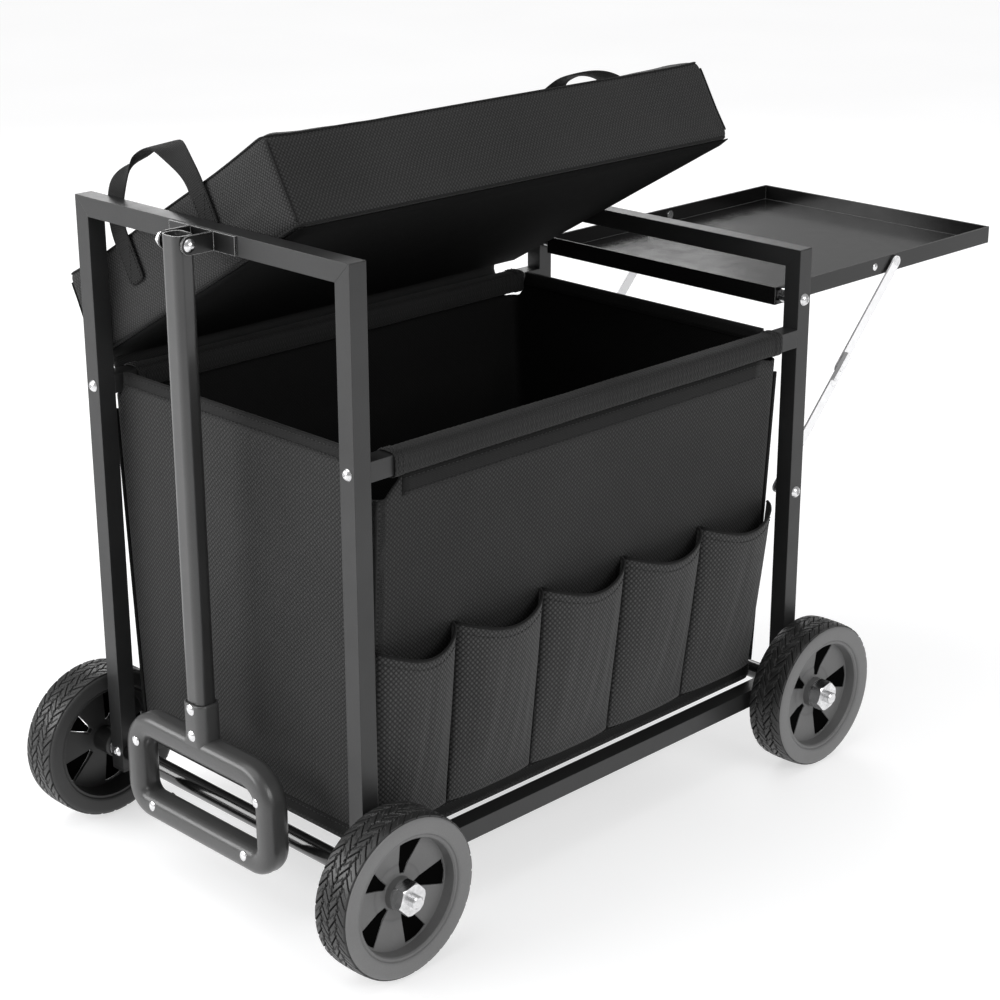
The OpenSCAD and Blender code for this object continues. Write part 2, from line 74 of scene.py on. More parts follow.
# ------------------------------------------------------------------ node helpers
def new_mat(name):
    m = bpy.data.materials.new(name)
    m.use_nodes = True
    nt = m.node_tree
    nt.nodes.clear()
    out = nt.nodes.new("ShaderNodeOutputMaterial")
    b = nt.nodes.new("ShaderNodeBsdfPrincipled")
    nt.links.new(b.outputs[0], out.inputs[0])
    return m, nt, b


def node(nt, kind, **kw):
    n = nt.nodes.new(kind)
    for k, v in kw.items():
        setattr(n, k, v)
    return n


def math_n(nt, op, a, b=None, clamp=False):
    n = nt.nodes.new("ShaderNodeMath")
    n.operation = op
    n.use_clamp = clamp
    for i, v in enumerate((a, b)):
        if v is None:
            continue
        if isinstance(v, (int, float)):
            n.inputs[i].default_value = v
        else:
            nt.links.new(v, n.inputs[i])
    return n.outputs[0]


def ramp(nt, fac, stops):
    r = nt.nodes.new("ShaderNodeValToRGB")
    e = r.color_ramp.elements
    e[0].position, e[0].color = stops[0][0], (*stops[0][1], 1)
    e[1].position, e[1].color = stops[-1][0], (*stops[-1][1], 1)
    for p, c in stops[1:-1]:
        x = e.new(p)
        x.color = (*c, 1)
    nt.links.new(fac, r.inputs[0])
    return r.outputs[0]


def noise(nt, coord, scale, detail=3.0, rough=0.55):
    n = nt.nodes.new("ShaderNodeTexNoise")
    n.inputs["Scale"].default_value = scale
    n.inputs["Detail"].default_value = detail
    n.inputs["Roughness"].default_value = rough
    if coord is not None:
        nt.links.new(coord, n.inputs["Vector"])
    return n.outputs["Fac"]


def grey(v, tint=0.0):
    return (v, v * (1 + tint * 0.5), v * (1 + tint))


def weave(name, pitch, lo, hi, bump=0.55, rough=0.72, sheen=0.05, angle=45.0, depth=0.0005, stretch=1.0, spec=0.28):
    """coarse plain weave drawn in surface millimetres through the UV map"""
    m, nt, b = new_mat(name)
    tc = node(nt, "ShaderNodeTexCoord")
    mp = node(nt, "ShaderNodeMapping")
    mp.inputs["Rotation"].default_value = (0, 0, math.radians(angle))
    mp.inputs["Scale"].default_value = (math.pi / pitch, math.pi / pitch * stretch, 1)
    nt.links.new(tc.outputs["UV"], mp.inputs["Vector"])
    sep = node(nt, "ShaderNodeSeparateXYZ")
    nt.links.new(mp.outputs[0], sep.inputs[0])
    warp = noise(nt, tc.outputs["Object"], 90, 2)
    jit = math_n(nt, "MULTIPLY", math_n(nt, "SUBTRACT", warp, 0.5), 1.1)
    u = math_n(nt, "SINE", math_n(nt, "ADD", sep.outputs[0], jit))
    v = math_n(nt, "SINE", math_n(nt, "ADD", sep.outputs[1], jit))
    prod = math_n(nt, "MULTIPLY", u, v)
    lump = math_n(nt, "POWER", math_n(nt, "ABSOLUTE", prod), 0.7)
    over = math_n(nt, "MULTIPLY", math_n(nt, "ADD", prod, 1.0), 0.5)
    h = math_n(nt, "MULTIPLY", lump, math_n(nt, "ADD", math_n(nt, "MULTIPLY", over, 0.25), 0.75))
    big = noise(nt, tc.outputs["Object"], 9, 3)
    fib = noise(nt, tc.outputs["Object"], 1800, 2)
    tone = math_n(nt, "ADD", math_n(nt, "MULTIPLY", h, 0.85),
                  math_n(nt, "MULTIPLY", math_n(nt, "SUBTRACT", big, 0.5), 0.35))
    tone = math_n(nt, "ADD", tone, math_n(nt, "MULTIPLY", math_n(nt, "SUBTRACT", fib, 0.5), 0.25), clamp=True)
    nt.links.new(ramp(nt, tone, [(0.0, grey(lo)), (0.45, grey((lo + hi) * 0.42)), (1.0, grey(hi))]), b.inputs["Base Color"])
    rr = math_n(nt, "ADD", math_n(nt, "MULTIPLY", fib, 0.15), rough - 0.07)
    nt.links.new(rr, b.inputs["Roughness"])
    b.inputs["Sheen Weight"].default_value = sheen
    b.inputs["Sheen Roughness"].default_value = 0.45
    b.inputs["Specular IOR Level"].default_value = spec
    bp = node(nt, "ShaderNodeBump")
    bp.inputs["Strength"].default_value = bump
    bp.inputs["Distance"].default_value = depth
    hh = math_n(nt, "ADD", h, math_n(nt, "MULTIPLY", fib, 0.2))
    nt.links.new(hh, bp.inputs["Height"])
    nt.links.new(bp.outputs[0], b.inputs["Normal"])
    return m


def edge_mix(nt, colour, edge, radius):
    """a second colour along the sharp edges, from how far the rounded normal leans; in painted() this colour is a
    painted highlight
    """
    bv = node(nt, "ShaderNodeBevel", samples=4)
    bv.inputs["Radius"].default_value = radius
    geo = node(nt, "ShaderNodeNewGeometry")
    dp = node(nt, "ShaderNodeVectorMath", operation="DOT_PRODUCT")
    nt.links.new(bv.outputs[0], dp.inputs[0])
    nt.links.new(geo.outputs["Normal"], dp.inputs[1])
    f = math_n(nt, "MULTIPLY", math_n(nt, "SUBTRACT", 1.0, dp.outputs["Value"]), 9.0, clamp=True)
    mx = node(nt, "ShaderNodeMix", data_type="RGBA")
    nt.links.new(f, mx.inputs[0])
    nt.links.new(colour, mx.inputs[6])
    mx.inputs[7].default_value = (*edge, 1)
    return mx.outputs[2]


def painted(name, base, rough, peel=0.25, bevel=0.0009, coat=0.0, spec=0.5, speck=0.3, metallic=0.0, scratch=0.0, edge=None, edge_highlight_r=0.0007, inner=None):
    """powder coat or paint: orange peel, faint mottling, softly broken edges; edge adds a painted highlight along
    sharp edges, inner paints shade on faces with |y| under 180.6 mm
    """
    m, nt, b = new_mat(name)
    tc = node(nt, "ShaderNodeTexCoord")
    n1 = noise(nt, tc.outputs["Object"], 14, 4)
    n2 = noise(nt, tc.outputs["Object"], 900, 2)
    n3 = noise(nt, tc.outputs["Object"], 60, 3)
    t = math_n(nt, "ADD", math_n(nt, "MULTIPLY", n1, 0.6), math_n(nt, "MULTIPLY", n2, 0.4))
    col = ramp(nt, t, [(0.25, tuple(c * (1 - speck) for c in base)), (0.75, tuple(c * (1 + speck) for c in base))])
    # painted highlight: a lighter colour mixed in along the sharp edges
    if edge:
        col = edge_mix(nt, col, edge, edge_highlight_r)
    # painted shade: faces nearer the centre than |y| = 180.6 mm, the wheels' inward sides under the cart, take the
    # darker inner colour
    if inner:
        geo = node(nt, "ShaderNodeNewGeometry")
        sp = node(nt, "ShaderNodeSeparateXYZ")
        nt.links.new(geo.outputs["Position"], sp.inputs[0])
        f = math_n(nt, "MULTIPLY", math_n(nt, "SUBTRACT", math_n(nt, "ABSOLUTE", sp.outputs[1]), 0.1806), 900.0, clamp=True)
        mx = node(nt, "ShaderNodeMix", data_type="RGBA")
        nt.links.new(f, mx.inputs[0])
        mx.inputs[6].default_value = (*inner, 1)
        nt.links.new(col, mx.inputs[7])
        col = mx.outputs[2]
    nt.links.new(col, b.inputs["Base Color"])
    r = math_n(nt, "ADD", math_n(nt, "MULTIPLY", n3, 0.16), rough - 0.08)
    nt.links.new(r, b.inputs["Roughness"])
    b.inputs["Metallic"].default_value = metallic
    b.inputs["Specular IOR Level"].default_value = spec
    b.inputs["Coat Weight"].default_value = coat
    b.inputs["Coat Roughness"].default_value = 0.12
    bv = node(nt, "ShaderNodeBevel", samples=4)
    bv.inputs["Radius"].default_value = bevel
    bp = node(nt, "ShaderNodeBump")
    bp.inputs["Strength"].default_value = peel
    bp.inputs["Distance"].default_value = 0.0002
    nt.links.new(math_n(nt, "ADD", n2, math_n(nt, "MULTIPLY", n3, scratch)), bp.inputs["Height"])
    nt.links.new(bv.outputs[0], bp.inputs["Normal"])
    nt.links.new(bp.outputs[0], b.inputs["Normal"])
    return m


def zinc(name, base=0.78, rough=0.24, contrast=1.0, metallic=1.0, edge=None):
    m, nt, b = new_mat(name)
    tc = node(nt, "ShaderNodeTexCoord")
    n1 = noise(nt, tc.outputs["Object"], 220, 4)
    n2 = noise(nt, tc.outputs["Object"], 25, 3)
    lo, hi = base * (1 - 0.22 * contrast), min(1.0, base * (1 + 0.08 * contrast))
    col = ramp(nt, n1, [(0.3, (lo, lo, lo * 1.01)), (0.7, (hi, hi, min(1.0, hi * 1.01)))])
    if edge:
        col = edge_mix(nt, col, edge, 0.0005)
    nt.links.new(col, b.inputs["Base Color"])
    nt.links.new(math_n(nt, "ADD", math_n(nt, "MULTIPLY", n2, 0.22), rough - 0.1), b.inputs["Roughness"])
    b.inputs["Metallic"].default_value = metallic
    bv = node(nt, "ShaderNodeBevel", samples=4)
    bv.inputs["Radius"].default_value = 0.0004
    bp = node(nt, "ShaderNodeBump")
    bp.inputs["Strength"].default_value = 0.12
    bp.inputs["Distance"].default_value = 0.0002
    nt.links.new(n1, bp.inputs["Height"])
    nt.links.new(bv.outputs[0], bp.inputs["Normal"])
    nt.links.new(bp.outputs[0], b.inputs["Normal"])
    return m


def webbing_mat(name):
    """narrow ribbed webbing: ribs run across u"""
    m, nt, b = new_mat(name)
    tc = node(nt, "ShaderNodeTexCoord")
    sep = node(nt, "ShaderNodeSeparateXYZ")
    nt.links.new(tc.outputs["UV"], sep.inputs[0])
    a = math_n(nt, "SINE", math_n(nt, "MULTIPLY", sep.outputs[0], math.pi / 0.0016))
    c = math_n(nt, "SINE", math_n(nt, "MULTIPLY", sep.outputs[1], math.pi / 0.0012))
    h = math_n(nt, "ABSOLUTE", math_n(nt, "MULTIPLY", math_n(nt, "ADD", math_n(nt, "ABSOLUTE", a), 0.6), math_n(nt, "ADD", math_n(nt, "ABSOLUTE", c), 0.4)))
    fib = noise(nt, tc.outputs["Object"], 1500, 2)
    t = math_n(nt, "ADD", math_n(nt, "MULTIPLY", h, 0.35), math_n(nt, "MULTIPLY", fib, 0.3), clamp=True)
    nt.links.new(ramp(nt, t, [(0.1, grey(0.0018)), (0.95, grey(0.016))]), b.inputs["Base Color"])
    b.inputs["Roughness"].default_value = 0.75
    b.inputs["Sheen Weight"].default_value = 0.03
    b.inputs["Specular IOR Level"].default_value = 0.2
    bp = node(nt, "ShaderNodeBump")
    bp.inputs["Strength"].default_value = 0.5
    bp.inputs["Distance"].default_value = 0.0003
    nt.links.new(h, bp.inputs["Height"])
    nt.links.new(bp.outputs[0], b.inputs["Normal"])
    return m


M = {
    "frame": painted("satin_powder_coat", grey(0.017, 0.02), 0.40, spec=0.5),
    "tube": painted("handle_tube_coat", grey(0.022), 0.34, peel=0.12, spec=0.6, coat=0.45),
    # painted highlight: light grey along the bracket's sharp edges
    "bracket": painted("bracket_coat", grey(0.008), 0.3, spec=0.5, edge=(0.5, 0.5, 0.5), edge_highlight_r=0.0008),
    "tube_gloss": painted("gloss_black_tube", grey(0.006), 0.16, peel=0.08, spec=0.55, coat=0.4),
    # painted highlight: lighter grey along the tray's rim and edges
    "tray": painted("tray_enamel", grey(0.007), 0.17, peel=0.06, spec=0.42, bevel=0.0005, edge=(0.2, 0.2, 0.2), edge_highlight_r=0.0005),
    "grip": painted("moulded_grip_plastic", grey(0.05), 0.33, peel=0.3, spec=0.5, bevel=0.0006, speck=0.2, coat=0.15),
    # painted shade: the inner colour darkens each wheel's and tyre's inward side
    "wheel": painted("wheel_plastic", grey(0.13), 0.42, peel=0.3, spec=0.45, bevel=0.0007, speck=0.12, inner=grey(0.02)),
    "sidewall": painted("tyre_sidewall", grey(0.155), 0.5, peel=0.35, spec=0.4, bevel=0.0005, speck=0.12, inner=grey(0.035)),
    "rubber": painted("tyre_rubber", grey(0.014), 0.38, peel=0.5, spec=0.5, bevel=0.0003, speck=0.35),
    "cap": painted("black_plastic", grey(0.01), 0.45, peel=0.3),
    # painted shade: near-black stand-in for the shadow inside the wheel's wedge recesses
    "slot": painted("slot_painted_shade", grey(0.0015), 0.9, spec=0.02),
    "zinc": zinc("zinc_plate"),
    "strip": zinc("bright_strip", 0.97, 0.4, contrast=0.2, metallic=0.45, edge=(0.02, 0.02, 0.02)),
    "bag": weave("oxford_bag", 0.0026, 0.003, 0.044, bump=0.95),
    # painted shade: a darker, duller copy of the bag weave on the inside faces, for the shaded interior
    "bag_in": weave("oxford_bag_inside_shade", 0.0021, 0.002, 0.010, bump=0.5, sheen=0.0, spec=0.15),
    "pocket": weave("oxford_pocket", 0.0026, 0.005, 0.082, bump=0.85, stretch=0.85, sheen=0.1),
    "cushion": weave("oxford_cushion", 0.0023, 0.003, 0.047, bump=0.9),
    "sleeve": weave("oxford_sleeve", 0.0019, 0.003, 0.028, bump=0.55),
    "hem": weave("hem_binding", 0.0013, 0.0025, 0.016, bump=0.4, angle=0, spec=0.2),
    "under": weave("nonwoven_underside", 0.0011, 0.0015, 0.0055, bump=0.25, sheen=0.0, rough=0.9, spec=0.12),
    "thread": painted("thread", grey(0.022), 0.6, peel=0.2, bevel=0.0001, spec=0.3),
    "web": webbing_mat("woven_webbing"),
}


def assign(names, mat):
    for n in names:
        o = NODES[n]
        o.data.materials.clear()
        o.data.materials.append(mat)


assign(["tall_leg_near", "tall_leg_far", "tall_top_bar", "low_leg_near", "low_leg_far", "low_top_bar", "top_rail_near",
        "top_rail_far", "bottom_rail_near", "bottom_rail_far"], M["frame"])
assign(["handle_tube"], M["tube"])
assign(["handle_bracket"], M["bracket"])
assign(["axle_tubes"], M["tube_gloss"])
assign(["axle_rods", "axle_nuts", "axle_washers", "rail_bolts", "lower_screws", "handle_bolt", "grip_rivets", "tray_bolts",
        "tray_rivets", "brace_bolts"], M["zinc"])
assign(["brace_lower_near", "brace_lower_far", "brace_upper_near", "brace_upper_far"], M["strip"])
assign(["leg_caps", "rail_plugs"], M["cap"])
assign(["side_tray"], M["tray"])
assign([n for n in NODES if n.startswith("centre_")], M["wheel"])
assign(["bag_base_board"], M["under"])


# ------------------------------------------------------------------ mesh helpers
def mesh_obj(name, verts, faces, mats, uvs=None, smooth=True, fmat=None):
    me = bpy.data.meshes.new(name)
    me.from_pydata([tuple(map(float, v)) for v in verts], [], [tuple(map(int, f)) for f in faces])
    if not isinstance(mats, (list, tuple)):
        mats = [mats]
    for m in mats:
        me.materials.append(m)
    if fmat is not None:
        me.polygons.foreach_set("material_index", np.array(fmat, np.int32))
    if uvs is not None:
        lay = me.uv_layers.new(name="UVMap")
        idx = np.zeros(len(me.loops), np.int32)
        me.loops.foreach_get("vertex_index", idx)
        lay.data.foreach_set("uv", np.array(uvs, float)[idx].ravel())
    me.polygons.foreach_set("use_smooth", np.full(len(me.polygons), smooth))
    me.update()
    o = bpy.data.objects.new(name, me)
    scene.collection.objects.link(o)
    return o


def box_uv(o, inverse=None):
    """UVs in metres from each face's main direction; inverse undoes a tilt first"""
    me = o.data
    lay = me.uv_layers.get("UVMap") or me.uv_layers.new(name="UVMap")
    co = np.zeros(len(me.vertices) * 3)
    me.vertices.foreach_get("co", co)
    co = co.reshape(-1, 3)
    nr = np.zeros(len(me.polygons) * 3)
    me.polygons.foreach_get("normal", nr)
    nr = nr.reshape(-1, 3)
    if inverse is not None:
        r = np.array(inverse)
        co, nr = co @ r.T, nr @ r.T
    uv = np.zeros((len(me.loops), 2))
    li = np.zeros(len(me.loops), np.int32)
    me.loops.foreach_get("vertex_index", li)
    ax = np.abs(nr).argmax(1)
    for p in me.polygons:
        a = ax[p.index]
        k = (1, 2) if a == 0 else (0, 2) if a == 1 else (0, 1)
        s = slice(p.loop_start, p.loop_start + p.loop_total)
        uv[s] = co[li[s]][:, k]
    lay.data.foreach_set("uv", uv.ravel())


def apply_mods(o):
    bpy.context.view_layer.update()
    dg = bpy.context.evaluated_depsgraph_get()
    me = bpy.data.meshes.new_from_object(o.evaluated_get(dg))
    old = o.data
    o.modifiers.clear()
    o.data = me
    me.name = o.name
    if old.users == 0:
        bpy.data.meshes.remove(old)
    return o


def solidify(o, t, offset=-1.0, rim=True):
    md = o.modifiers.new("s", "SOLIDIFY")
    md.thickness = t / 1000.0
    md.offset = offset
    md.use_rim = rim
    md.use_even_offset = True
    return apply_mods(o)


def grid(nu, nv, fn, closed=False, flip=False):
    """fn(i, j) -> (xyz metres, uv metres); faces between neighbours"""
    vs, uv = [], []
    for i in range(nu):
        for j in range(nv):
            p, t = fn(i, j)
            vs.append(p)
            uv.append(t)
    fs = []
    for i in range(nu if closed else nu - 1):
        k = (i + 1) % nu
        for j in range(nv - 1):
            f = (i * nv + j, k * nv + j, k * nv + j + 1, i * nv + j + 1)
            fs.append(f[::-1] if flip else f)
    return vs, fs, uv


def tube_along(name, pts, r, mat, body, seg=8, closed=False, rfun=None, squash_n=None):
    """a round bead along points in metres"""
    pts = [Vector(p) for p in pts]
    n = len(pts)
    vs, uv = [], []
    prev = None
    s = 0.0
    for i, p in enumerate(pts):
        a = pts[(i - 1) % n] if closed or i > 0 else pts[i]
        b = pts[(i + 1) % n] if closed or i < n - 1 else pts[i]
        d = (b - a).normalized()
        if prev is None:
            up = Vector((0, 0, 1)) if abs(d.z) < 0.9 else Vector((0, 1, 0))
            prev = d.cross(up).normalized()
        x = (prev - d * prev.dot(d)).normalized()
        y = d.cross(x)
        prev = x
        rr = r * (rfun(i / max(1, n - 1)) if rfun else 1.0) / 1000.0
        for k in range(seg):
            t = 2 * math.pi * k / seg
            vs.append(p + (x * math.cos(t) + y * math.sin(t)) * rr)
            uv.append((s, k / seg * 2 * math.pi * rr))
        if i < n - 1:
            s += (pts[i + 1] - p).length
    fs = []
    for i in range(n if closed else n - 1):
        j = (i + 1) % n
        for k in range(seg):
            q = (k + 1) % seg
            fs.append((i * seg + k, i * seg + q, j * seg + q, j * seg + k))
    if not closed:
        fs.append(tuple(range(seg))[::-1])
        fs.append(tuple((n - 1) * seg + k for k in range(seg)))
    o = mesh_obj(name, vs, fs, mat, uv)
    if body:
        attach(o, body)
    return o


def stitches(name, paths, body, length=2.6, gap=1.5, w=0.45, h=0.5):
    """rows of thread: each path is a list of (point, outward normal) in metres"""
    vs, fs = [], []
    for path in paths:
        pts = [Vector(p) for p, _ in path]
        nrm = [Vector(q).normalized() for _, q in path]
        acc = [0.0]
        for a, b in zip(pts, pts[1:]):
            acc.append(acc[-1] + (b - a).length)
        total = acc[-1]

        def at(s):
            s = min(max(s, 0), total)
            i = int(np.searchsorted(acc, s, side="right")) - 1
            i = min(max(i, 0), len(pts) - 2)
            f = (s - acc[i]) / max(1e-9, acc[i + 1] - acc[i])
            return pts[i].lerp(pts[i + 1], f), nrm[i].lerp(nrm[i + 1], f).normalized()

        s = 0.001
        while s + length / 1000 < total:
            a, na = at(s)
            b, nb = at(s + length / 1000)
            d = (b - a).normalized()
            side = d.cross(na).normalized() * (w / 2000)
            up = na * (h / 1000)
            mid = (a + b) / 2 + up
            base = len(vs)
            vs += [a - side, a + side, b + side, b - side, a.lerp(mid, 0.35) - side * 0.8 + up * 0.75, a.lerp(mid, 0.35) + side * 0.8 + up * 0.75,
                   b.lerp(mid, 0.35) + side * 0.8 + up * 0.75, b.lerp(mid, 0.35) - side * 0.8 + up * 0.75]
            for f in ((3, 2, 1, 0), (4, 5, 6, 7), (0, 1, 5, 4), (1, 2, 6, 5), (2, 3, 7, 6), (3, 0, 4, 7)):
                fs.append(tuple(base + k for k in f))
            s += (length + gap) / 1000
    o = mesh_obj(name, vs, fs, M["thread"])
    box_uv(o)
    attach(o, body)
    return o


def wave(a, b, c):
    """smooth seeded-free wrinkle field, about -1..1"""
    return (math.sin(a * 0.071 + 1.3 * math.sin(b * 0.033 + c)) + math.sin(b * 0.094 + c * 2.1 + 0.9 * math.sin(a * 0.047))
            + 0.6 * math.sin(a * 0.19 + b * 0.13 + c)) / 2.6


# ------------------------------------------------------------------ camera
cam_data = bpy.data.cameras.new("camera")
cam = bpy.data.objects.new("camera", cam_data)
scene.collection.objects.link(cam)
cam_data.sensor_width = 36.0
cam_data.lens = 2233.477 / 1000.0 * 36.0
cam_data.clip_start, cam_data.clip_end = 0.05, 60.0
yaw, pitch, roll = 0.7847297, -0.3477297, -0.001558
fwd = Vector((math.sin(yaw) * math.cos(pitch), math.cos(yaw) * math.cos(pitch), math.sin(pitch)))
right = Vector((math.cos(yaw), -math.sin(yaw), 0))
up = right.cross(fwd)
r2 = right * math.cos(roll) + up * math.sin(roll)
u2 = up * math.cos(roll) - right * math.sin(roll)
cam.matrix_world = Matrix(((r2.x, u2.x, -fwd.x, (-937.90 - 370.5) / 1000), (r2.y, u2.y, -fwd.y, -1233.125 / 1000),
                           (r2.z, u2.z, -fwd.z, 874.68 / 1000), (0, 0, 0, 1)))
scene.camera = cam

# ------------------------------------------------------------------ bag
R_C = 9.0


def half_w(z):
    """half depth of the bag at height z"""
    return 137.0 + 16.0 * (z - 71.5) / 293.2


CORNER_TOP = {("n", -1): 350.0, ("n", 1): 361.0, ("f", -1): 362.0, ("f", 1): 360.0}


def long_top(side, x):
    tl, tr = CORNER_TOP[(side, -1)], CORNER_TOP[(side, 1)]
    dl, dr = x - BAG_X0 - R_C, BAG_X1 - R_C - x
    return min(BAG_TOP, tl + dl / 15.0 * (BAG_TOP - tl), tr + dr / 15.0 * (BAG_TOP - tr))


ENDS = [-1.0, -0.966] + [float(v) for v in np.linspace(-0.94, 0.94, 31)] + [0.966, 1.0]


def end_top(side, c):
    if abs(c) <= 0.941:
        return 383.0
    if abs(c) < 0.98:
        return 366.0
    return CORNER_TOP[("n" if c < 0 else "f", side)] + 1.0


def bag_columns():
    """perimeter of the bag: (x centre, c, nx, ny, kind, top)"""
    cols = []
    n1 = 56
    for i in range(n1):                       # near side, left to right
        x = BAG_X0 + R_C + (BAG_X1 - BAG_X0 - 2 * R_C) * i / (n1 - 1)
        cols.append((x, -1.0, 0.0, -1.0, "n", long_top("n", x)))
    for k in range(1, 4):
        t = math.pi / 2 * k / 4
        cols.append((BAG_X1 - R_C, -1.0, math.sin(t), -math.cos(t), "c", CORNER_TOP[("n", 1)]))
    for c in ENDS:
        cols.append((BAG_X1 - R_C, c, 1.0, 0.0, "r", end_top(1, c)))
    for k in range(1, 4):
        t = math.pi / 2 * k / 4
        cols.append((BAG_X1 - R_C, 1.0, math.cos(t), math.sin(t), "c", CORNER_TOP[("f", 1)]))
    for i in range(n1):
        x = BAG_X1 - R_C - (BAG_X1 - BAG_X0 - 2 * R_C) * i / (n1 - 1)
        cols.append((x, 1.0, 0.0, 1.0, "f", long_top("f", x)))
    for k in range(1, 4):
        t = math.pi / 2 * k / 4
        cols.append((BAG_X0 + R_C, 1.0, -math.sin(t), math.cos(t), "c", CORNER_TOP[("f", -1)]))
    for c in ENDS[::-1]:
        cols.append((BAG_X0 + R_C, c, -1.0, 0.0, "l", end_top(-1, c)))
    for k in range(1, 4):
        t = math.pi / 2 * k / 4
        cols.append((BAG_X0 + R_C, -1.0, -math.cos(t), -math.sin(t), "c", CORNER_TOP[("n", -1)]))
    return cols


COLS = bag_columns()


def bag_point(col, z, off=0.0):
    """outer surface of the bag in cart millimetres"""
    x, c, nx, ny, kind, top = col
    w = min(half_w(z), 153.0)
    t = (z - BAG_Z) / (BAG_TOP - BAG_Z)
    inset = 0.0
    if z < BAG_Z + 2.2:
        q = 1 - (z - BAG_Z) / 2.2
        inset = 2.2 * (1 - math.sqrt(max(0.0, 1 - q * q)))
    prof = math.sin(math.pi * min(1, max(0, t))) ** 0.8
    if kind == "n":
        u = (x - BAG_X0) / (BAG_X1 - BAG_X0)
        bulge = (1.8 * math.sin(math.pi * u) * prof * (1.0 if z > 240 else max(0.25, (z - 180) / 60.0)) + 0.7 * wave(x, z, 0.3) * prof * (1 if z > 238 else 0.25))
    elif kind == "f":
        u = (x - BAG_X0) / (BAG_X1 - BAG_X0)
        bulge = (3.6 * math.sin(math.pi * u) + 1.1 * wave(x, z, 1.7)) * prof * (1 if z < 300 else max(0.0, (338 - z) / 38.0))
    elif kind == "r":
        bulge = (4.5 * (1 - c * c) + 1.2 * wave(c * 150, z, 2.9)) * prof
    elif kind == "l":
        bulge = (1.6 * (1 - c * c) + 0.8 * (1 - c * c) * wave(c * 150, z, 4.1)) * prof
    else:
        bulge = 0.0
    r = R_C - inset + bulge + off
    return (x + nx * r, c * (w - R_C) + ny * r, z)


def rows_for(top):
    z0 = [BAG_Z + v for v in (0, 0.2, 0.7, 1.4, 2.2)]
    n = 40
    return z0 + [BAG_Z + 2.2 + (top - BAG_Z - 2.2) * j / n for j in range(1, n + 1)]


NR = len(rows_for(364))
run = [0.0]
for a, b in zip(COLS, COLS[1:]):
    pa, pb = bag_point(a, 200), bag_point(b, 200)
    run.append(run[-1] + math.dist(pa, pb))


def bag_fn(i, j):
    z = rows_for(COLS[i][5])[j]
    p = bag_point(COLS[i], z)
    return P(*p), (run[i] / 1000, z / 1000)


vs, fs, uv = grid(len(COLS), NR, bag_fn, closed=True)
base_ring = [i * NR for i in range(len(COLS))]
ring = base_ring
for k, sc in enumerate((0.93, 0.8, 0.6, 0.4, 0.2)):
    new = []
    for i in range(len(COLS)):
        x, y, z = bag_point(COLS[i], BAG_Z)
        cx = (BAG_X0 + BAG_X1) / 2
        q = (cx + (x - cx) * sc, y * sc, BAG_Z - 2.2 * (1 - sc * sc))
        new.append(len(vs))
        vs.append(P(*q))
        uv.append((q[0] / 1000, q[1] / 1000))
    for i in range(len(COLS)):
        j = (i + 1) % len(COLS)
        fs.append((ring[i], new[i], new[j], ring[j]))
    ring = new
fs.append(tuple(ring[::-1]))
bag = mesh_obj("bag_fabric", vs, fs, [M["bag"], M["bag_in"]], uv)
# the solidified inner faces take the darker bag_in copy, a painted shade
md = bag.modifiers.new("s", "SOLIDIFY")
md.thickness, md.offset, md.material_offset, md.material_offset_rim = 0.0016, -1.0, 1, 0
md.use_even_offset = True
apply_mods(bag)
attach(bag, "chassis")
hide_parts("bag_shell")


def band(name, cols, zlo, zhi, off, mat, thick=0.9, closed=False, flip=False, nz=4):
    """a strip of cloth laid on the bag's surface"""
    idx = list(range(len(cols)))

    def fn(i, j):
        c = cols[i]
        lo = zlo(c) if callable(zlo) else zlo
        hi = zhi(c) if callable(zhi) else zhi
        z = lo + (hi - lo) * j / (nz - 1)
        e = 0.0 if 0 < j < nz - 1 else -0.35
        return P(*bag_point(c, z, off + e)), (i * 0.008, z / 1000)

    v, f, t = grid(len(cols), nz, fn, closed=closed, flip=flip)
    o = mesh_obj(name, v, f, mat, t)
    solidify(o, thick, -1.0)
    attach(o, "chassis")
    return o


band("bag_hem_bottom", COLS, 74.5, 87.0, 1.0, M["hem"], closed=True)
left_cols = [c for c in COLS if c[4] == "l" and abs(c[1]) < 0.941]
right_cols = [c for c in COLS if c[4] == "r" and abs(c[1]) < 0.941]
band("bag_hem_left", left_cols, 371.5, 383.3, 0.9, M["hem"], thick=3.2)
band("bag_hem_right", right_cols, 371.5, 383.3, 0.9, M["hem"], thick=3.2)
near_top = [c for c in COLS if c[4] == "n" and c[5] >= BAG_TOP - 0.1]
far_top = [c for c in COLS if c[4] == "f" and c[5] >= BAG_TOP - 0.1]
band("bag_band_near", near_top, 349.0, 364.4, 0.9, M["hem"])


def row_on_bag(cols, z, off):
    return [(P(*bag_point(c, z if not callable(z) else z(c), off)), (c[2], c[3], 0)) for c in cols]


sti = [row_on_bag(COLS + COLS[:1], 76.6, 1.05), row_on_bag(COLS + COLS[:1], 85.0, 1.05),
       row_on_bag(left_cols, 373.5, 1.0), row_on_bag(left_cols, 381.0, 1.0),
       row_on_bag(right_cols, 373.5, 1.0), row_on_bag(right_cols, 381.0, 1.0),
       row_on_bag(near_top, 351.0, 1.0), row_on_bag(near_top, 362.0, 1.0)]
stitches("bag_stitching", sti, "chassis")

# bound vertical seams at the bag's four corners
for k, (sx, sy) in enumerate(((-1, -1), (1, -1), (1, 1), (-1, 1))):
    x0 = (BAG_X0 + 1.2) if sx < 0 else (BAG_X1 - 1.2)
    pts = []
    for z in np.linspace(89, 350, 40):
        w = half_w(z) - 1.6
        pts.append(P(x0 - sx * 0.6, sy * w, z))
    tube_along(f"bag_corner_piping_{k}", pts, 1.5, M["hem"], "chassis", seg=8)


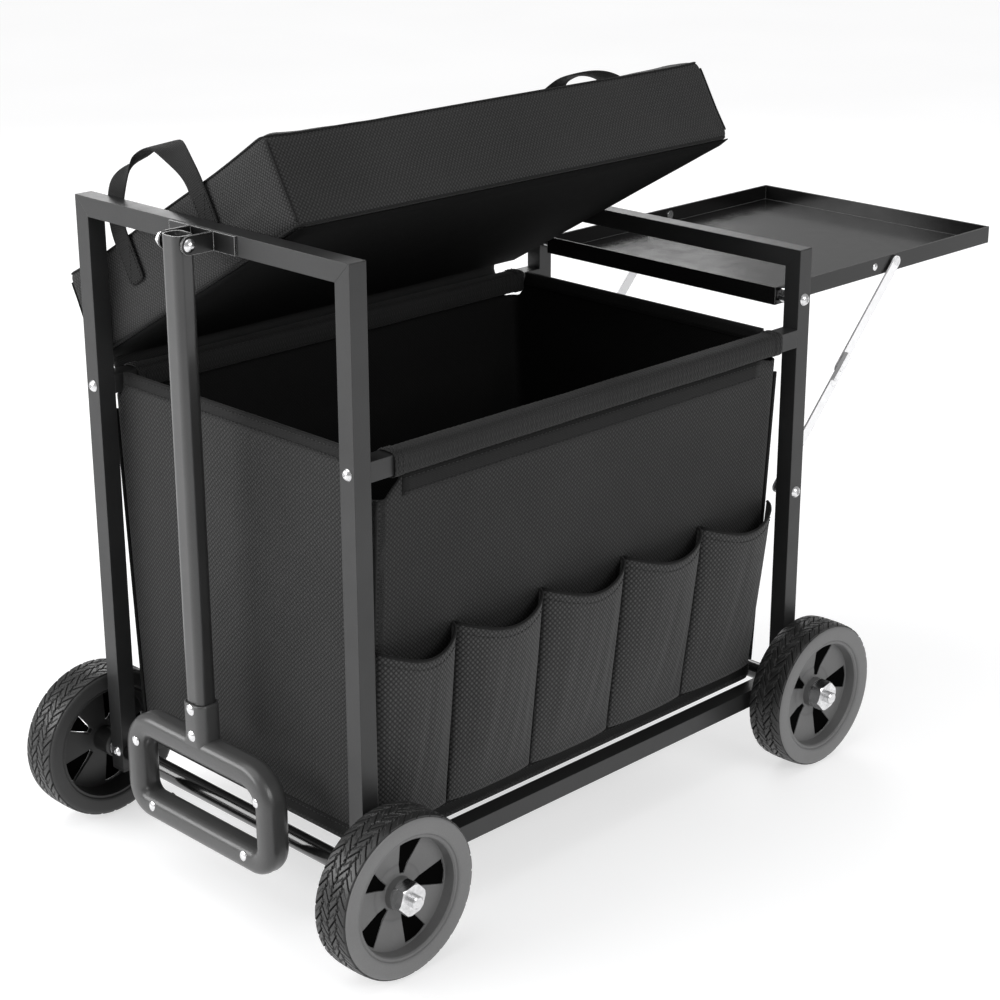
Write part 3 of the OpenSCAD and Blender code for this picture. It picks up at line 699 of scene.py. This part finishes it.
# ------------------------------------------------------------------ sleeves round the top rails
def sleeve(name, sgn, x0=-213.5, x1=213.5):
    n, m = 300, 40

    def fn(i, j):
        u = i / (n - 1)
        x = x0 + (x1 - x0) * u
        t = 2 * math.pi * j / m
        c, s = math.cos(t), math.sin(t)
        e = 0.52
        px = math.copysign(abs(c) ** e, c)
        pz = math.copysign(abs(s) ** e, s)
        end = min(x - x0, x1 - x)
        hem = 0.55 * max(0.0, min(1.0, (9.5 - end) / 1.2))
        rib = 0.18 * math.sin(x * 1.35 + 0.7 * math.sin(x * 0.11)) * (0.4 + 0.6 * abs(c))
        slack = 0.5 * wave(x * 0.9, t * 30, sgn) + 0.35 * math.sin(x * 0.021 + sgn)
        r = 9.15 + hem + rib + slack * 0.35
        droop = 0.9 if s < 0 else 0.25
        yy = sgn * (YL) + px * r
        zz = RAIL_Z + pz * (r - 0.15) - (droop * 0.5 if s < -0.3 else 0)
        return P(x, yy, zz), (x / 1000, t * 0.0095)

    vs, uv = [], []
    for i in range(n):
        for j in range(m):
            p, t = fn(i, j)
            vs.append(p)
            uv.append(t)
    fs = []
    for i in range(n - 1):
        for j in range(m):
            k = (j + 1) % m
            fs.append((i * m + j, i * m + k, (i + 1) * m + k, (i + 1) * m + j))
    o = mesh_obj(name, vs, fs, M["sleeve"], uv)
    bm = bmesh.new()
    bm.from_mesh(o.data)
    bmesh.ops.recalc_face_normals(bm, faces=bm.faces)
    mid = bm.faces[len(bm.faces) // 2]
    bm.to_mesh(o.data)
    bm.free()
    # outward check: normals point away from the rail's centre line
    f = o.data.polygons[len(o.data.polygons) // 2]
    cy = sgn * YL / 1000
    if Vector((0, f.center.y - cy, f.center.z - RAIL_Z / 1000)).dot(f.normal) < 0:
        o.data.flip_normals()
    solidify(o, 0.9, -1.0)
    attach(o, "chassis")
    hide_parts("sleeve_near" if sgn < 0 else "sleeve_far")
    rows = []
    for xx in (x0 + 3.0, x0 + 7.6, x1 - 3.0, x1 - 7.6):
        row = []
        for j in range(m + 1):
            t = 2 * math.pi * j / m
            c, s = math.cos(t), math.sin(t)
            px, pz = math.copysign(abs(c) ** 0.52, c), math.copysign(abs(s) ** 0.52, s)
            row.append((P(xx, sgn * YL + px * 9.75, RAIL_Z + pz * 9.6), (0, c, s)))
        rows.append(row)
    stitches(name + "_stitching", rows, "chassis", length=2.0, gap=1.4)
    return o


sleeve("sleeve_near_cloth", -1)
sleeve("sleeve_far_cloth", 1)


# ------------------------------------------------------------------ pockets
def wall_y(z):
    return -half_w(z)


def pocket(i):
    n, m = 46, 40
    ph = i * 1.7

    def fn(a, b):
        u, v = a / (n - 1), b / (m - 1)
        ztop = 236.0 - 11.0 * math.sin(math.pi * u) ** 1.05
        z = 88.0 + v * (ztop - 88.0)
        xl = SEAMB[i] + (SEAM[i] - SEAMB[i]) * v + 0.7
        xr = SEAMB[i + 1] + (SEAM[i + 1] - SEAMB[i + 1]) * v - 0.7
        e = abs(2 * u - 1)
        sh = max(0.0, 1 - e ** 2.7) ** 0.72
        d = 4.0 + 15.8 * v ** 0.85 + 2.6 * math.sin(math.pi * v)
        x = xl + (xr - xl) * (u + 0.022 * math.sin(2 * math.pi * u) * v)
        rip = (0.55 * math.sin(2 * math.pi * (u * 3.2 + 0.25 * v) + ph) + 0.35 * math.sin(2 * math.pi * (u * 6.1 - 0.5 * v) + 2 * ph)) * sh * 0.5 * math.sin(math.pi * min(1.0, v + 0.02)) ** 0.8
        fold = 1.1 * math.exp(-((u - 0.86 - 0.03 * math.sin(3 * v + ph)) / 0.045) ** 2) * math.sin(math.pi * min(1, v * 1.1)) \
            + 1.0 * math.exp(-((u - 0.12) / 0.05) ** 2) * math.sin(math.pi * v)
        y = wall_y(z) - 1.9 - (d * sh + rip - fold * sh)
        return P(x, y, z), (x / 1000 + (abs(y) * 0.0003), z / 1000)

    vs, fs, uv = grid(n, m, fn)
    o = mesh_obj(f"pocket_{i + 1}_cloth", vs, fs, M["pocket"], uv)
    if sum(f.normal.y for f in o.data.polygons) > 0:
        o.data.flip_normals()
    solidify(o, 1.3, -1.0)
    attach(o, "chassis")
    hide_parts(f"pocket_{i + 1}")
    # rolled hem along the mouth and its stitch row
    top = [fn(a, m - 1)[0] for a in range(n)]
    hem = [Vector(p) + Vector((0, 0.0006, 0)) for p in top]
    tube_along(f"pocket_{i + 1}_hem", hem, 1.25, M["hem"], "chassis", seg=8)
    row, row2 = [], []
    for a in range(1, n - 1):
        p, q = Vector(fn(a, m - 3)[0]), Vector(fn(a + 1, m - 3)[0])
        d = (q - p).normalized()
        nrm = Vector((d.y, -d.x, 0)).normalized()
        if nrm.y > 0:
            nrm = -nrm
        row.append((p + nrm * 0.0001, nrm))
    rows = [row]
    for u_i in (0, n - 1):
        rows.append([(Vector(fn(u_i, b)[0]) + Vector((0, -0.0004, 0)), (0, -1, 0)) for b in range(1, m)])
    stitches(f"pocket_{i + 1}_stitching", rows, "chassis", length=2.4, gap=1.6)
    return o


for i in range(5):
    pocket(i)


# ------------------------------------------------------------------ fabric hinge of the lid
def hinge():
    sec = [(151.9, 331.0), (152.6, 336.0), (154.4, 341.0), (157.0, 346.0), (158.3, 350.0)]
    lidside = [(158.5, 353.5), (158.5, 362.0), (158.7, 371.0), (158.6, 379.0), (157.9, 383.6), (156.2, 386.4), (153.8, 388.4), (152.3, 391.4),
               (151.7, 396.0), (151.5, 402.0), (151.4, 410.0)]
    pts = [(0, y, z) for y, z in sec] + [lid_rest((0, y, z)) for y, z in lidside]
    n = 90
    x0, x1 = -211.0, 210.0

    def fn(i, j):
        x = x0 + (x1 - x0) * i / (n - 1)
        _, y, z = pts[j]
        k = math.sin(math.pi * j / (len(pts) - 1))
        return P(x, y + 0.35 * k * wave(x, z, 5.0), z), (x / 1000, j * 0.006)

    vs, fs, uv = grid(n, len(pts), fn)
    o = mesh_obj("lid_hinge_cloth", vs, fs, M["sleeve"], uv)
    if sum(f.normal.y for f in o.data.polygons) < 0:
        o.data.flip_normals()
    solidify(o, 1.2, 0.0)
    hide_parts("hinge_strip", "hinge_flap")
    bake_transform(o)
    rows = [[(P(x, 152.3, 333.0), (0, 1, 0)) for x in np.linspace(x0, x1, 60)], [(P(x, 153.3, 337.6), (0, 1, 0)) for x in np.linspace(x0, x1, 60)]]
    stitches("hinge_root_stitching", rows, "chassis")
    rows = [[(P(*lid_rest((x, 152.1, z))), Vector(lid_rest((0, 1 + PIV_Y, PIV_Z))) - Vector(lid_rest((0, PIV_Y, PIV_Z)))) for x in np.linspace(x0, x1, 60)] for z in (399.0, 407.0)]
    stitches("hinge_lid_stitching", rows, "seat_lid")


hinge()

# ------------------------------------------------------------------ seat cushion and its underside
TILT = Matrix.Translation(Vector(P(OX, PIV_Y, PIV_Z))) @ Matrix.Rotation(-OPEN, 4, "X") @ Matrix.Translation(-Vector(P(OX, PIV_Y, PIV_Z)))
INV = np.array(Matrix.Rotation(OPEN, 3, "X"))


def cushion():
    lo = (LID_X0 + 0.3, LID_Y - LID_W + 0.3, LID_Z + 3.5)
    hi = (LID_X0 + LID_LEN - 0.3, LID_Y + 4.0, LID_Z + 3.4 + 70 - 0.6)
    bm = bmesh.new()
    bmesh.ops.create_cube(bm, size=1.0)
    for v in bm.verts:
        v.co = Vector(P(*[lo[k] + (hi[k] - lo[k]) * (v.co[k] + 0.5) for k in range(3)]))
    bmesh.ops.bevel(bm, geom=bm.edges[:], offset=0.0035, segments=2, profile=0.6, affect="EDGES")
    me = bpy.data.meshes.new("seat_cushion_cloth")
    bm.to_mesh(me)
    bm.free()
    o = bpy.data.objects.new("seat_cushion_cloth", me)
    scene.collection.objects.link(o)
    md = o.modifiers.new("r", "REMESH")
    md.mode, md.voxel_size = "VOXEL", 0.0058
    apply_mods(o)
    start = np.zeros(len(o.data.vertices) * 3)
    o.data.vertices.foreach_get("co", start)
    start = start.reshape(-1, 3)
    zb = (LID_Z + 3.6) / 1000
    g = o.vertex_groups.new(name="pin")
    for k, c in enumerate(start):
        if c[2] < zb + 0.004:
            g.add([k], 1.0, "REPLACE")
    cl = o.modifiers.new("c", "CLOTH")
    s = cl.settings
    s.quality = 5
    s.mass = 0.3
    s.tension_stiffness = s.compression_stiffness = 18
    s.shear_stiffness = 6
    s.bending_stiffness = 1.2
    s.use_pressure = True
    s.uniform_pressure_force = 4.0
    s.vertex_group_mass = "pin"
    s.effector_weights.gravity = 0
    for f in range(1, 21):
        scene.frame_set(f)
    apply_mods(o)
    scene.frame_set(1)
    end = np.zeros(len(o.data.vertices) * 3)
    o.data.vertices.foreach_get("co", end)
    end = end.reshape(-1, 3)
    d = end - start
    size = np.linalg.norm(d, axis=1, keepdims=True)
    cap = 0.0055
    d = d * np.minimum(1, cap / np.maximum(size, 1e-9))
    d[:, 0] = np.clip(d[:, 0], -0.0008, 0.0008)
    d[:, 1] = np.clip(d[:, 1], -0.0030, 0.0010)
    d[:, 2] = np.where(start[:, 2] < zb + 0.006, 0, d[:, 2])
    # the remeshed box is put back on its true faces, so edges stay straight
    base = start.copy()
    for k in range(3):
        a, b = P(*lo)[k], P(*hi)[k]
        base[:, k] = np.where(np.abs(base[:, k] - a) < 0.0031, a, base[:, k])
        base[:, k] = np.where(np.abs(base[:, k] - b) < 0.0031, b, base[:, k])
    co = base + d
    # edges draw in a little between the crowns, corners stay put
    o.data.vertices.foreach_set("co", co.ravel())
    o.data.update()
    o.vertex_groups.clear()
    sm = o.modifiers.new("sm", "SMOOTH")
    sm.factor, sm.iterations = 0.35, 1
    sb = o.modifiers.new("sub", "SUBSURF")
    sb.levels = sb.render_levels = 1
    apply_mods(o)
    o.data.polygons.foreach_set("use_smooth", np.full(len(o.data.polygons), True))
    o.data.materials.clear()
    o.data.materials.append(M["cushion"])
    box_uv(o)
    # seams follow the finished surface
    tree = BVHTree.FromObject(o, bpy.context.evaluated_depsgraph_get())
    e = 0.0006

    def on_surface(p, out):
        hit = tree.find_nearest(Vector(p) + Vector(out) * 0.02)
        return hit[0] + Vector(out).normalized() * e

    xs = np.linspace(lo[0] + 3, hi[0] - 3, 90)
    ys = np.linspace(lo[1] + 3, hi[1] - 3, 60)
    zs = np.linspace(lo[2] + 4, hi[2] - 3, 24)
    rings = {"top": (hi[2], 0.7), "low": (lo[2] + 2.5, -0.5)}
    for nm, (zz, oz) in rings.items():
        loop = [on_surface(P(x, lo[1], zz), (0, -0.7, oz)) for x in xs] + [on_surface(P(hi[0], y, zz), (0.7, 0, oz)) for y in ys] \
            + [on_surface(P(x, hi[1], zz), (0, 0.7, oz)) for x in xs[::-1]] + [on_surface(P(lo[0], y, zz), (-0.7, 0, oz)) for y in ys[::-1]]
        t = tube_along(f"cushion_seam_{nm}", loop, 0.8, M["hem"], None, seg=6, closed=True)
        t.data.transform(TILT)
        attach(t, "seat_lid")
    k = 0
    for sx in (0, 1):
        for sy in (0, 1):
            x, y = (lo[0], hi[0])[sx], (lo[1], hi[1])[sy]
            pts = [on_surface(P(x, y, z), ((-0.7, 0.7)[sx], (-0.7, 0.7)[sy], 0)) for z in zs]
            t = tube_along(f"cushion_corner_seam_{k}", pts, 0.75, M["hem"], None, seg=6)
            t.data.transform(TILT)
            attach(t, "seat_lid")
            k += 1
    o.data.transform(TILT)
    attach(o, "seat_lid")
    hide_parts("seat_cushion")

    # covered base panel: rounded edge, shallow quilting dips
    n, m = 80, 50
    bx0, bx1 = LID_X0 + 3.0, LID_X0 + LID_LEN - 3.0
    by0, by1 = LID_Y - LID_W + 2.4, LID_Y + 1.0

    def fn(i, j):
        u, v = i / (n - 1), j / (m - 1)
        x, y = bx0 + (bx1 - bx0) * u, by0 + (by1 - by0) * v
        edge = min(u * (bx1 - bx0), (1 - u) * (bx1 - bx0), v * (by1 - by0), (1 - v) * (by1 - by0))
        z = LID_Z + 2.6 * max(0.0, 1 - edge / 3.0) ** 2 + 0.12 * (1 + wave(x, y, 6.0))
        return P(x, y, z), (x / 1000, y / 1000)

    v2, f2, t2 = grid(n, m, fn, flip=True)
    q = mesh_obj("seat_underside_cloth", v2, f2, M["under"], t2)
    if sum(f.normal.z for f in q.data.polygons) > 0:
        q.data.flip_normals()
    solidify(q, 0.8, -1.0)
    q.data.transform(TILT)
    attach(q, "seat_lid")
    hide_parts("seat_board")
    return o


cushion()


# ------------------------------------------------------------------ webbing loops on the lid's ends
def strap(name, side):
    """side -1 at the handle end, +1 at the tray end; b from the hinge edge, n up from the base"""
    xf = LID_X0 - 1.1 if side < 0 else LID_X0 + LID_LEN + 1.1
    inn = -side
    path = []           # (x, b, n, width direction (x, b, n))
    for k in range(9):
        path.append((xf, 88.0, 34.0 + 40.0 * k / 8, (0, 1, 0)))
    arch = 26
    for k in range(1, arch):
        t = k / arch
        a = math.pi * t
        b = 142.0 - 54.0 * math.cos(a) * (1.0 - 0.2 * math.sin(a))
        n = 74.0 + 43.0 * math.sin(a) ** 0.82
        tw = 0.5 - 0.5 * math.cos(min(1.0, max(0.0, t - 0.2) / 0.26) * math.pi) if t < 0.5 else 0.5 - 0.5 * math.cos(min(1.0, (1 - t) / 0.42) * math.pi)
        x = xf + inn * 10.6 * tw
        # width turns from along b (flat on the end face) to along x (flat across the top)
        q = tw * math.pi / 2 * 0.97
        sgn = 1 if t < 0.5 else -1
        tb, tn = 54.0 * math.sin(a) * math.pi, 46.0 * 0.82 * max(0.02, math.sin(a)) ** -0.18 * math.cos(a) * math.pi
        path.append((x, b, n, None, q, sgn, (0, tb, tn)))
    for k in range(8, -1, -1):
        path.append((xf, 196.0, 34.0 + 40.0 * k / 8, (0, 1, 0)))
    pts = [Vector((p[0], LID_Y - p[1], LID_Z + p[2])) for p in path]
    n = len(pts)
    sec = [(-10, 0), (-9.5, 0.75), (-5, 0.9), (0, 0.92), (5, 0.9), (9.5, 0.75), (10, 0), (9.5, -0.75), (5, -0.9), (0, -0.92), (-5, -0.9), (-9.5, -0.75)]
    wprev = None
    vs, uv = [], []
    s = 0
    for i, p in enumerate(pts):
        a, b = pts[max(0, i - 1)], pts[min(n - 1, i + 1)]
        d = (b - a).normalized()
        flat = Vector((1.0, 0, 0))
        edge = d.cross(flat).normalized()             # in the end plane, across the path
        q = path[i][4] if len(path[i]) > 4 else 0.0
        w = edge * math.cos(q) + flat * math.sin(q) * (-side)
        w = (w - d * w.dot(d)).normalized()
        nn = w.cross(d).normalized()
        for a1, b1 in sec:
            vs.append(p + w * a1 + nn * b1)
            uv.append((s / 1000, a1 / 1000))
        if i < n - 1:
            s += (pts[i + 1] - p).length
    m = len(sec)
    fs = []
    for i in range(n - 1):
        for k in range(m):
            q = (k + 1) % m
            fs.append((i * m + k, i * m + q, (i + 1) * m + q, (i + 1) * m + k))
    fs.append(tuple(range(m)))
    fs.append(tuple((n - 1) * m + k for k in range(m))[::-1])
    o = mesh_obj(name, [P(*v) for v in vs], fs, M["web"], uv)
    bm = bmesh.new()
    bm.from_mesh(o.data)
    bmesh.ops.recalc_face_normals(bm, faces=bm.faces)
    bm.to_mesh(o.data)
    bm.free()
    sb = o.modifiers.new("s", "SUBSURF")
    sb.levels = sb.render_levels = 1
    apply_mods(o)
    o.data.transform(TILT)
    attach(o, "seat_lid")
    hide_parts("strap_left" if side < 0 else "strap_right")
    # box stitching on the sewn tabs
    rows = []
    xo = xf + side * 0.95
    for bc in (88.0, 196.0):
        lp = [(bc - 7.5, 36), (bc + 7.5, 36), (bc + 7.5, 62), (bc - 7.5, 62), (bc - 7.5, 36), (bc + 7.5, 62)]
        for (b1, n1), (b2, n2) in zip(lp, lp[1:]):
            rows.append([(TILT @ Vector(P(xo, LID_Y - (b1 + (b2 - b1) * f), LID_Z + n1 + (n2 - n1) * f)), (side, 0, 0)) for f in np.linspace(0, 1, 8)])
    stitches(name + "_stitching", rows, "seat_lid", length=2.0, gap=1.2, h=0.35)


strap("carry_strap_left", -1)
strap("carry_strap_right", 1)


# ------------------------------------------------------------------ grip of the pull handle
def grip():
    a_out, zlo, zhi, rt, rb, hw = 89.0, 46.0, 136.0, 34.0, 26.0, 10.3
    ah, z0, z1, ct, cb = a_out - hw, zlo + hw, zhi - hw, rt - hw, rb - hw
    path = []      # (y, z, ny, nz) centre line and outward normal

    def arc(cy, cz, r, t0, t1, n):
        for k in range(n):
            t = t0 + (t1 - t0) * k / n
            path.append((cy + r * math.cos(t), cz + r * math.sin(t), math.cos(t), math.sin(t)))

    def line(p, q, ny, nz, n):
        for k in range(n):
            f = k / n
            path.append((p[0] + (q[0] - p[0]) * f, p[1] + (q[1] - p[1]) * f, ny, nz))

    line((ah, z0 + cb), (ah, z1 - ct), 1, 0, 10)
    arc(ah - ct, z1 - ct, ct, 0, math.pi / 2, 14)
    line((ah - ct, z1), (-(ah - ct), z1), 0, 1, 30)
    arc(-(ah - ct), z1 - ct, ct, math.pi / 2, math.pi, 14)
    line((-ah, z1 - ct), (-ah, z0 + cb), -1, 0, 10)
    arc(-(ah - cb), z0 + cb, cb, math.pi, 1.5 * math.pi, 12)
    line((-(ah - cb), z0), (ah - cb, z0), 0, -1, 30)
    arc(ah - cb, z0 + cb, cb, 1.5 * math.pi, 2 * math.pi, 12)
    m = 36
    vs, uv = [], []
    s = 0
    for i, (y, z, ny, nz) in enumerate(path):
        for j in range(m):
            t = 2 * math.pi * j / m
            c, sn = math.cos(t), math.sin(t)
            e = 0.78
            px = math.copysign(abs(sn) ** e, sn) * 11.2
            pr = math.copysign(abs(c) ** e, c) * hw
            if abs(px) < 0.01:
                pr *= 0.955
            vs.append(P(HPX + px, y + ny * pr, z + nz * pr))
            uv.append((s / 1000, t * 0.011))
        y2, z2 = path[(i + 1) % len(path)][:2]
        s += math.dist((y, z), (y2, z2))
    fs = []
    n = len(path)
    for i in range(n):
        k = (i + 1) % n
        for j in range(m):
            q = (j + 1) % m
            fs.append((i * m + j, i * m + q, k * m + q, k * m + j))
    o = mesh_obj("grip_loop_shell", vs, fs, M["grip"], uv)
    bm = bmesh.new()
    bm.from_mesh(o.data)
    bmesh.ops.recalc_face_normals(bm, faces=bm.faces)
    bm.to_mesh(o.data)
    bm.free()
    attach(o, "pull_handle")
    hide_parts("grip_front", "grip_back")
    # socket: rounded oblong, flaring into the loop
    lv = [(126, 21, 10.4, 9), (128.5, 17.2, 10.6, 8.5), (131.5, 14.0, 10.7, 8), (135, 12.6, 10.7, 8), (140, 12.25, 10.7, 8), (163.0, 12.2, 10.7, 8), (164.4, 12.0, 10.5, 7.8), (165.0, 11.4, 9.9, 7.2),
          (165.0, 10.3, 8.75, 6.3), (160.0, 10.3, 8.75, 6.3)]
    m = 64
    vs, uv = [], []
    for z, wy, wx, r in lv:
        for j in range(m):
            t = 2 * math.pi * j / m
            c, sn = math.cos(t), math.sin(t)
            r = min(r, wx - 0.1, wy - 0.1)
            cy, cx = math.copysign(wy - r, c), math.copysign(wx - r, sn)
            vs.append(P(HPX + cx + r * sn, cy + r * c, z))
            uv.append((t * 0.012, z / 1000))
    fs = [(i * m + j, i * m + (j + 1) % m, (i + 1) * m + (j + 1) % m, (i + 1) * m + j) for i in range(len(lv) - 1) for j in range(m)]
    q = mesh_obj("grip_socket", vs, fs, M["grip"], uv)
    bm = bmesh.new()
    bm.from_mesh(q.data)
    bmesh.ops.recalc_face_normals(bm, faces=bm.faces)
    bm.to_mesh(q.data)
    bm.free()
    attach(q, "pull_handle")


grip()


# ------------------------------------------------------------------ treaded tyres
def tyre_mesh(name):
    W, R = 34.0, 63.5
    na, nz = 720, 52
    inner = [(48.3, 1.8), (49.2, 0.6), (51.0, 0.15), (58.0, 0.0), (60.2, 0.25), (61.3, 1.1)]
    lip = [(61.35, 1.5), (62.4, 1.7)]
    prof = list(inner) + list(lip)
    k0 = len(prof)
    for j in range(nz):
        z = 2.0 + (W - 4.0) * j / (nz - 1)
        e = abs(z - W / 2) / (W / 2 - 2)
        prof.append((R - 0.9 * e ** 3.2, z))
    k1 = len(prof)
    prof += [(r, W - z) for r, z in (lip[::-1] + inner[::-1])]
    ang = np.arange(na) * 2 * math.pi / na
    pr = np.array(prof)
    rr = np.repeat(pr[None, :, 0], na, 0).copy()
    zz = np.repeat(pr[None, :, 1], na, 0)
    th = np.repeat(ang[:, None], len(prof), 1)
    arc = th * R
    per = 2 * math.pi * R / 30
    tri = lambda x: 2 * np.abs((x / per) % 1.0 - 0.5) * 2 - 1          # -1..1
    g = np.zeros_like(rr)

    def groove(d, w, depth):
        return depth * np.clip((w - np.abs(d)) / 0.5, 0, 1)

    edges = (1.2, 9.3, 17.0, 24.7, 32.8)
    for k, zc in enumerate(edges[1:4]):
        g = np.maximum(g, groove(zz - (zc + 1.5 * tri(arc + (k % 2) * per / 2)), 0.75, 1.1))
    for k in range(4):
        f = (zz - edges[k]) / (edges[k + 1] - edges[k])
        inside = (f > -0.1) & (f < 1.1)
        lean = (1 if k % 2 == 0 else -1) * (f - 0.5) * per * 0.85
        d = ((arc + 0.5 * (k % 2) * per + lean + per / 2) % per) - per / 2
        g = np.where(inside, np.maximum(g, groove(d, 0.85, 1.8)), g)
        d2 = ((arc + (0.5 * (k % 2) + 0.5) * per + lean + per / 2) % per) - per / 2
        part = inside & (f > 0.2) & (f < 0.8)
        g = np.where(part, np.maximum(g, groove(d2, 0.5, 0.9)), g)
    tread = np.zeros(len(prof), bool)
    tread[k0 - 1:k1 + 1] = True
    rr = rr - np.where(tread[None, :], g, 0)
    x, y = rr * np.cos(th), rr * np.sin(th)
    vs = np.stack([x, y, zz], -1).reshape(-1, 3) / 1000
    m = len(prof)
    i = np.arange(na)[:, None]
    j = np.arange(m - 1)[None, :]
    k = (i + 1) % na
    fs = np.stack([i * m + j, k * m + j, k * m + j + 1, i * m + j + 1], -1).reshape(-1, 4)
    side = (j < 5) | (j >= m - 6)
    fm = np.repeat(side.astype(np.int32), na, 0).reshape(-1)
    # bead band closes the ring on the rim
    jj = np.full((na, 1), m - 1)
    f2 = np.stack([i * m + (m - 1), k * m + (m - 1), k * m, i * m], -1).reshape(-1, 4)
    fs = np.concatenate([fs, f2])
    fm = np.concatenate([fm, np.ones(na, np.int32)])
    return vs, fs, fm


TV, TF, TM = tyre_mesh("t")
WHEELS = (("near_left", -1, -1), ("far_left", -1, 1), ("near_right", 1, -1), ("far_right", 1, 1))
TURN = (0.0, 4.0, 6.0, 2.0)
for (nm, sx, s), turn in zip(WHEELS, TURN):
    rot = Matrix.Rotation(math.radians(-s * 90), 4, "X")
    M4 = Matrix.Translation(Vector(P(sx * XL, s * 162.0, LOW_Z))) @ rot @ Matrix.Rotation(math.radians(turn), 4, "Z")
    A = np.array(M4)
    v = TV @ A[:3, :3].T + A[:3, 3]
    me = bpy.data.meshes.new(f"tyre_{nm}_tread")
    me.from_pydata(v.tolist(), [], TF.tolist())
    for mt in (M["rubber"], M["sidewall"]):
        me.materials.append(mt)
    me.polygons.foreach_set("material_index", TM)
    me.polygons.foreach_set("use_smooth", np.full(len(me.polygons), False))
    me.update()
    o = bpy.data.objects.new(f"tyre_{nm}_tread", me)
    scene.collection.objects.link(o)
    # outward normals
    f = me.polygons[len(me.polygons) // 2]
    c = Vector(P(sx * XL, f.center.y * 1000, LOW_Z))
    if (f.center - c).dot(f.normal) < 0:
        me.flip_normals()
    sm = np.zeros(len(me.polygons), bool)
    sm[:] = TM == 1
    me.polygons.foreach_set("use_smooth", sm)
    box_uv(o)
    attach(o, f"wheel_{nm}")
    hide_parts(f"tyre_{nm}")
    # painted shade: black floors in the five wedge recesses stand in for the shadow inside them
    vs, fs = [], []
    for q in range(5):
        a0 = math.radians(72 * q + 2)
        out = [(15.0, -1.8), (15.0, 1.8), (22, 3.9), (28, 5.9), (35, 8.2), (41.4, 10.2), (42.8, 5), (43.4, 0), (42.8, -5), (41.4, -10.2), (35, -8.2), (28, -5.9), (22, -3.9)]
        b = len(vs)
        for up in (0, 1):
            for px, py in out:
                r = math.hypot(px, py)
                face = 20.5 - (r - 13.5) / 8.5 if r < 22 else 19.5 + (r - 22) / 22.4 * 3.0
                vs.append((px * math.cos(a0) - py * math.sin(a0), px * math.sin(a0) + py * math.cos(a0), face - 0.5 if up else face - 1.2))
        k = len(out)
        fs.append(tuple(b + i for i in range(k))[::-1])
        fs.append(tuple(b + k + i for i in range(k)))
        for i in range(k):
            fs.append((b + i, b + (i + 1) % k, b + k + (i + 1) % k, b + k + i))
    M5 = Matrix.Translation(Vector(P(sx * XL, s * 162.0, LOW_Z))) @ rot
    o2 = mesh_obj(f"recess_shade_floors_{nm}", [M5 @ (Vector(v) / 1000) for v in vs], fs, M["slot"], smooth=False)
    box_uv(o2)
    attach(o2, f"wheel_{nm}")

# ------------------------------------------------------------------ floor, light
fl = mesh_obj("floor", [(-9, -9, -0.0004), (9, -9, -0.0004), (9, 9, -0.0004), (-9, 9, -0.0004)], [(0, 1, 2, 3)], M["cap"], smooth=False)
fm, nt, b = new_mat("floor_white")
tc = node(nt, "ShaderNodeTexCoord")
nz = noise(nt, tc.outputs["Object"], 2.0, 2)
nt.links.new(ramp(nt, nz, [(0.2, (0.48, 0.48, 0.485)), (0.8, (0.52, 0.52, 0.525))]), b.inputs["Base Color"])
b.inputs["Roughness"].default_value = 0.6
b.inputs["Specular IOR Level"].default_value = 0.2
b.inputs["Emission Color"].default_value = (1, 1, 1, 1)
b.inputs["Emission Strength"].default_value = 0.6
fl.data.materials.clear()
fl.data.materials.append(fm)

w = bpy.data.worlds.new("studio")
scene.world = w
w.use_nodes = True
nt = w.node_tree
nt.nodes.clear()
out = nt.nodes.new("ShaderNodeOutputWorld")
bg1, bg2 = nt.nodes.new("ShaderNodeBackground"), nt.nodes.new("ShaderNodeBackground")
mx, lp = nt.nodes.new("ShaderNodeMixShader"), nt.nodes.new("ShaderNodeLightPath")
bg1.inputs[0].default_value, bg1.inputs[1].default_value = (1, 1, 1, 1), 0.40
bg2.inputs[0].default_value, bg2.inputs[1].default_value = (1, 1, 1, 1), 1.0
nt.links.new(lp.outputs["Is Camera Ray"], mx.inputs[0])
nt.links.new(bg1.outputs[0], mx.inputs[1])
nt.links.new(bg2.outputs[0], mx.inputs[2])
nt.links.new(mx.outputs[0], out.inputs[0])


def area(name, loc, target, sx, sy, power, colour=(1, 1, 1)):
    d = bpy.data.lights.new(name, "AREA")
    d.shape = "RECTANGLE"
    d.size, d.size_y, d.energy, d.color = sx, sy, power, colour
    o = bpy.data.objects.new(name, d)
    scene.collection.objects.link(o)
    o.location = loc
    o.rotation_euler = (Vector(target) - Vector(loc)).to_track_quat("-Z", "Y").to_euler()
    o.visible_camera = False
    return o


sun = bpy.data.lights.new("overhead", "SUN")
sun.energy, sun.angle = 1.0, math.radians(55)
so = bpy.data.objects.new("overhead", sun)
scene.collection.objects.link(so)
so.rotation_euler = Vector((0.38, -0.22, -1)).to_track_quat("-Z", "Y").to_euler()
area("left_panel", (-2.2, 1.2, 1.15), (-0.1, 0, 0.4), 2.4, 1.1, 50)
area("front_fill", (-0.3, -2.7, 1.7), (0, 0, 0.25), 1.8, 1.2, 30)
area("back_rim", (1.4, 1.9, 1.6), (0, 0, 0.4), 1.6, 1.0, 20)

scene.view_settings.view_transform = "Standard"
scene.view_settings.look = "None"
scene.view_settings.exposure = 0.0
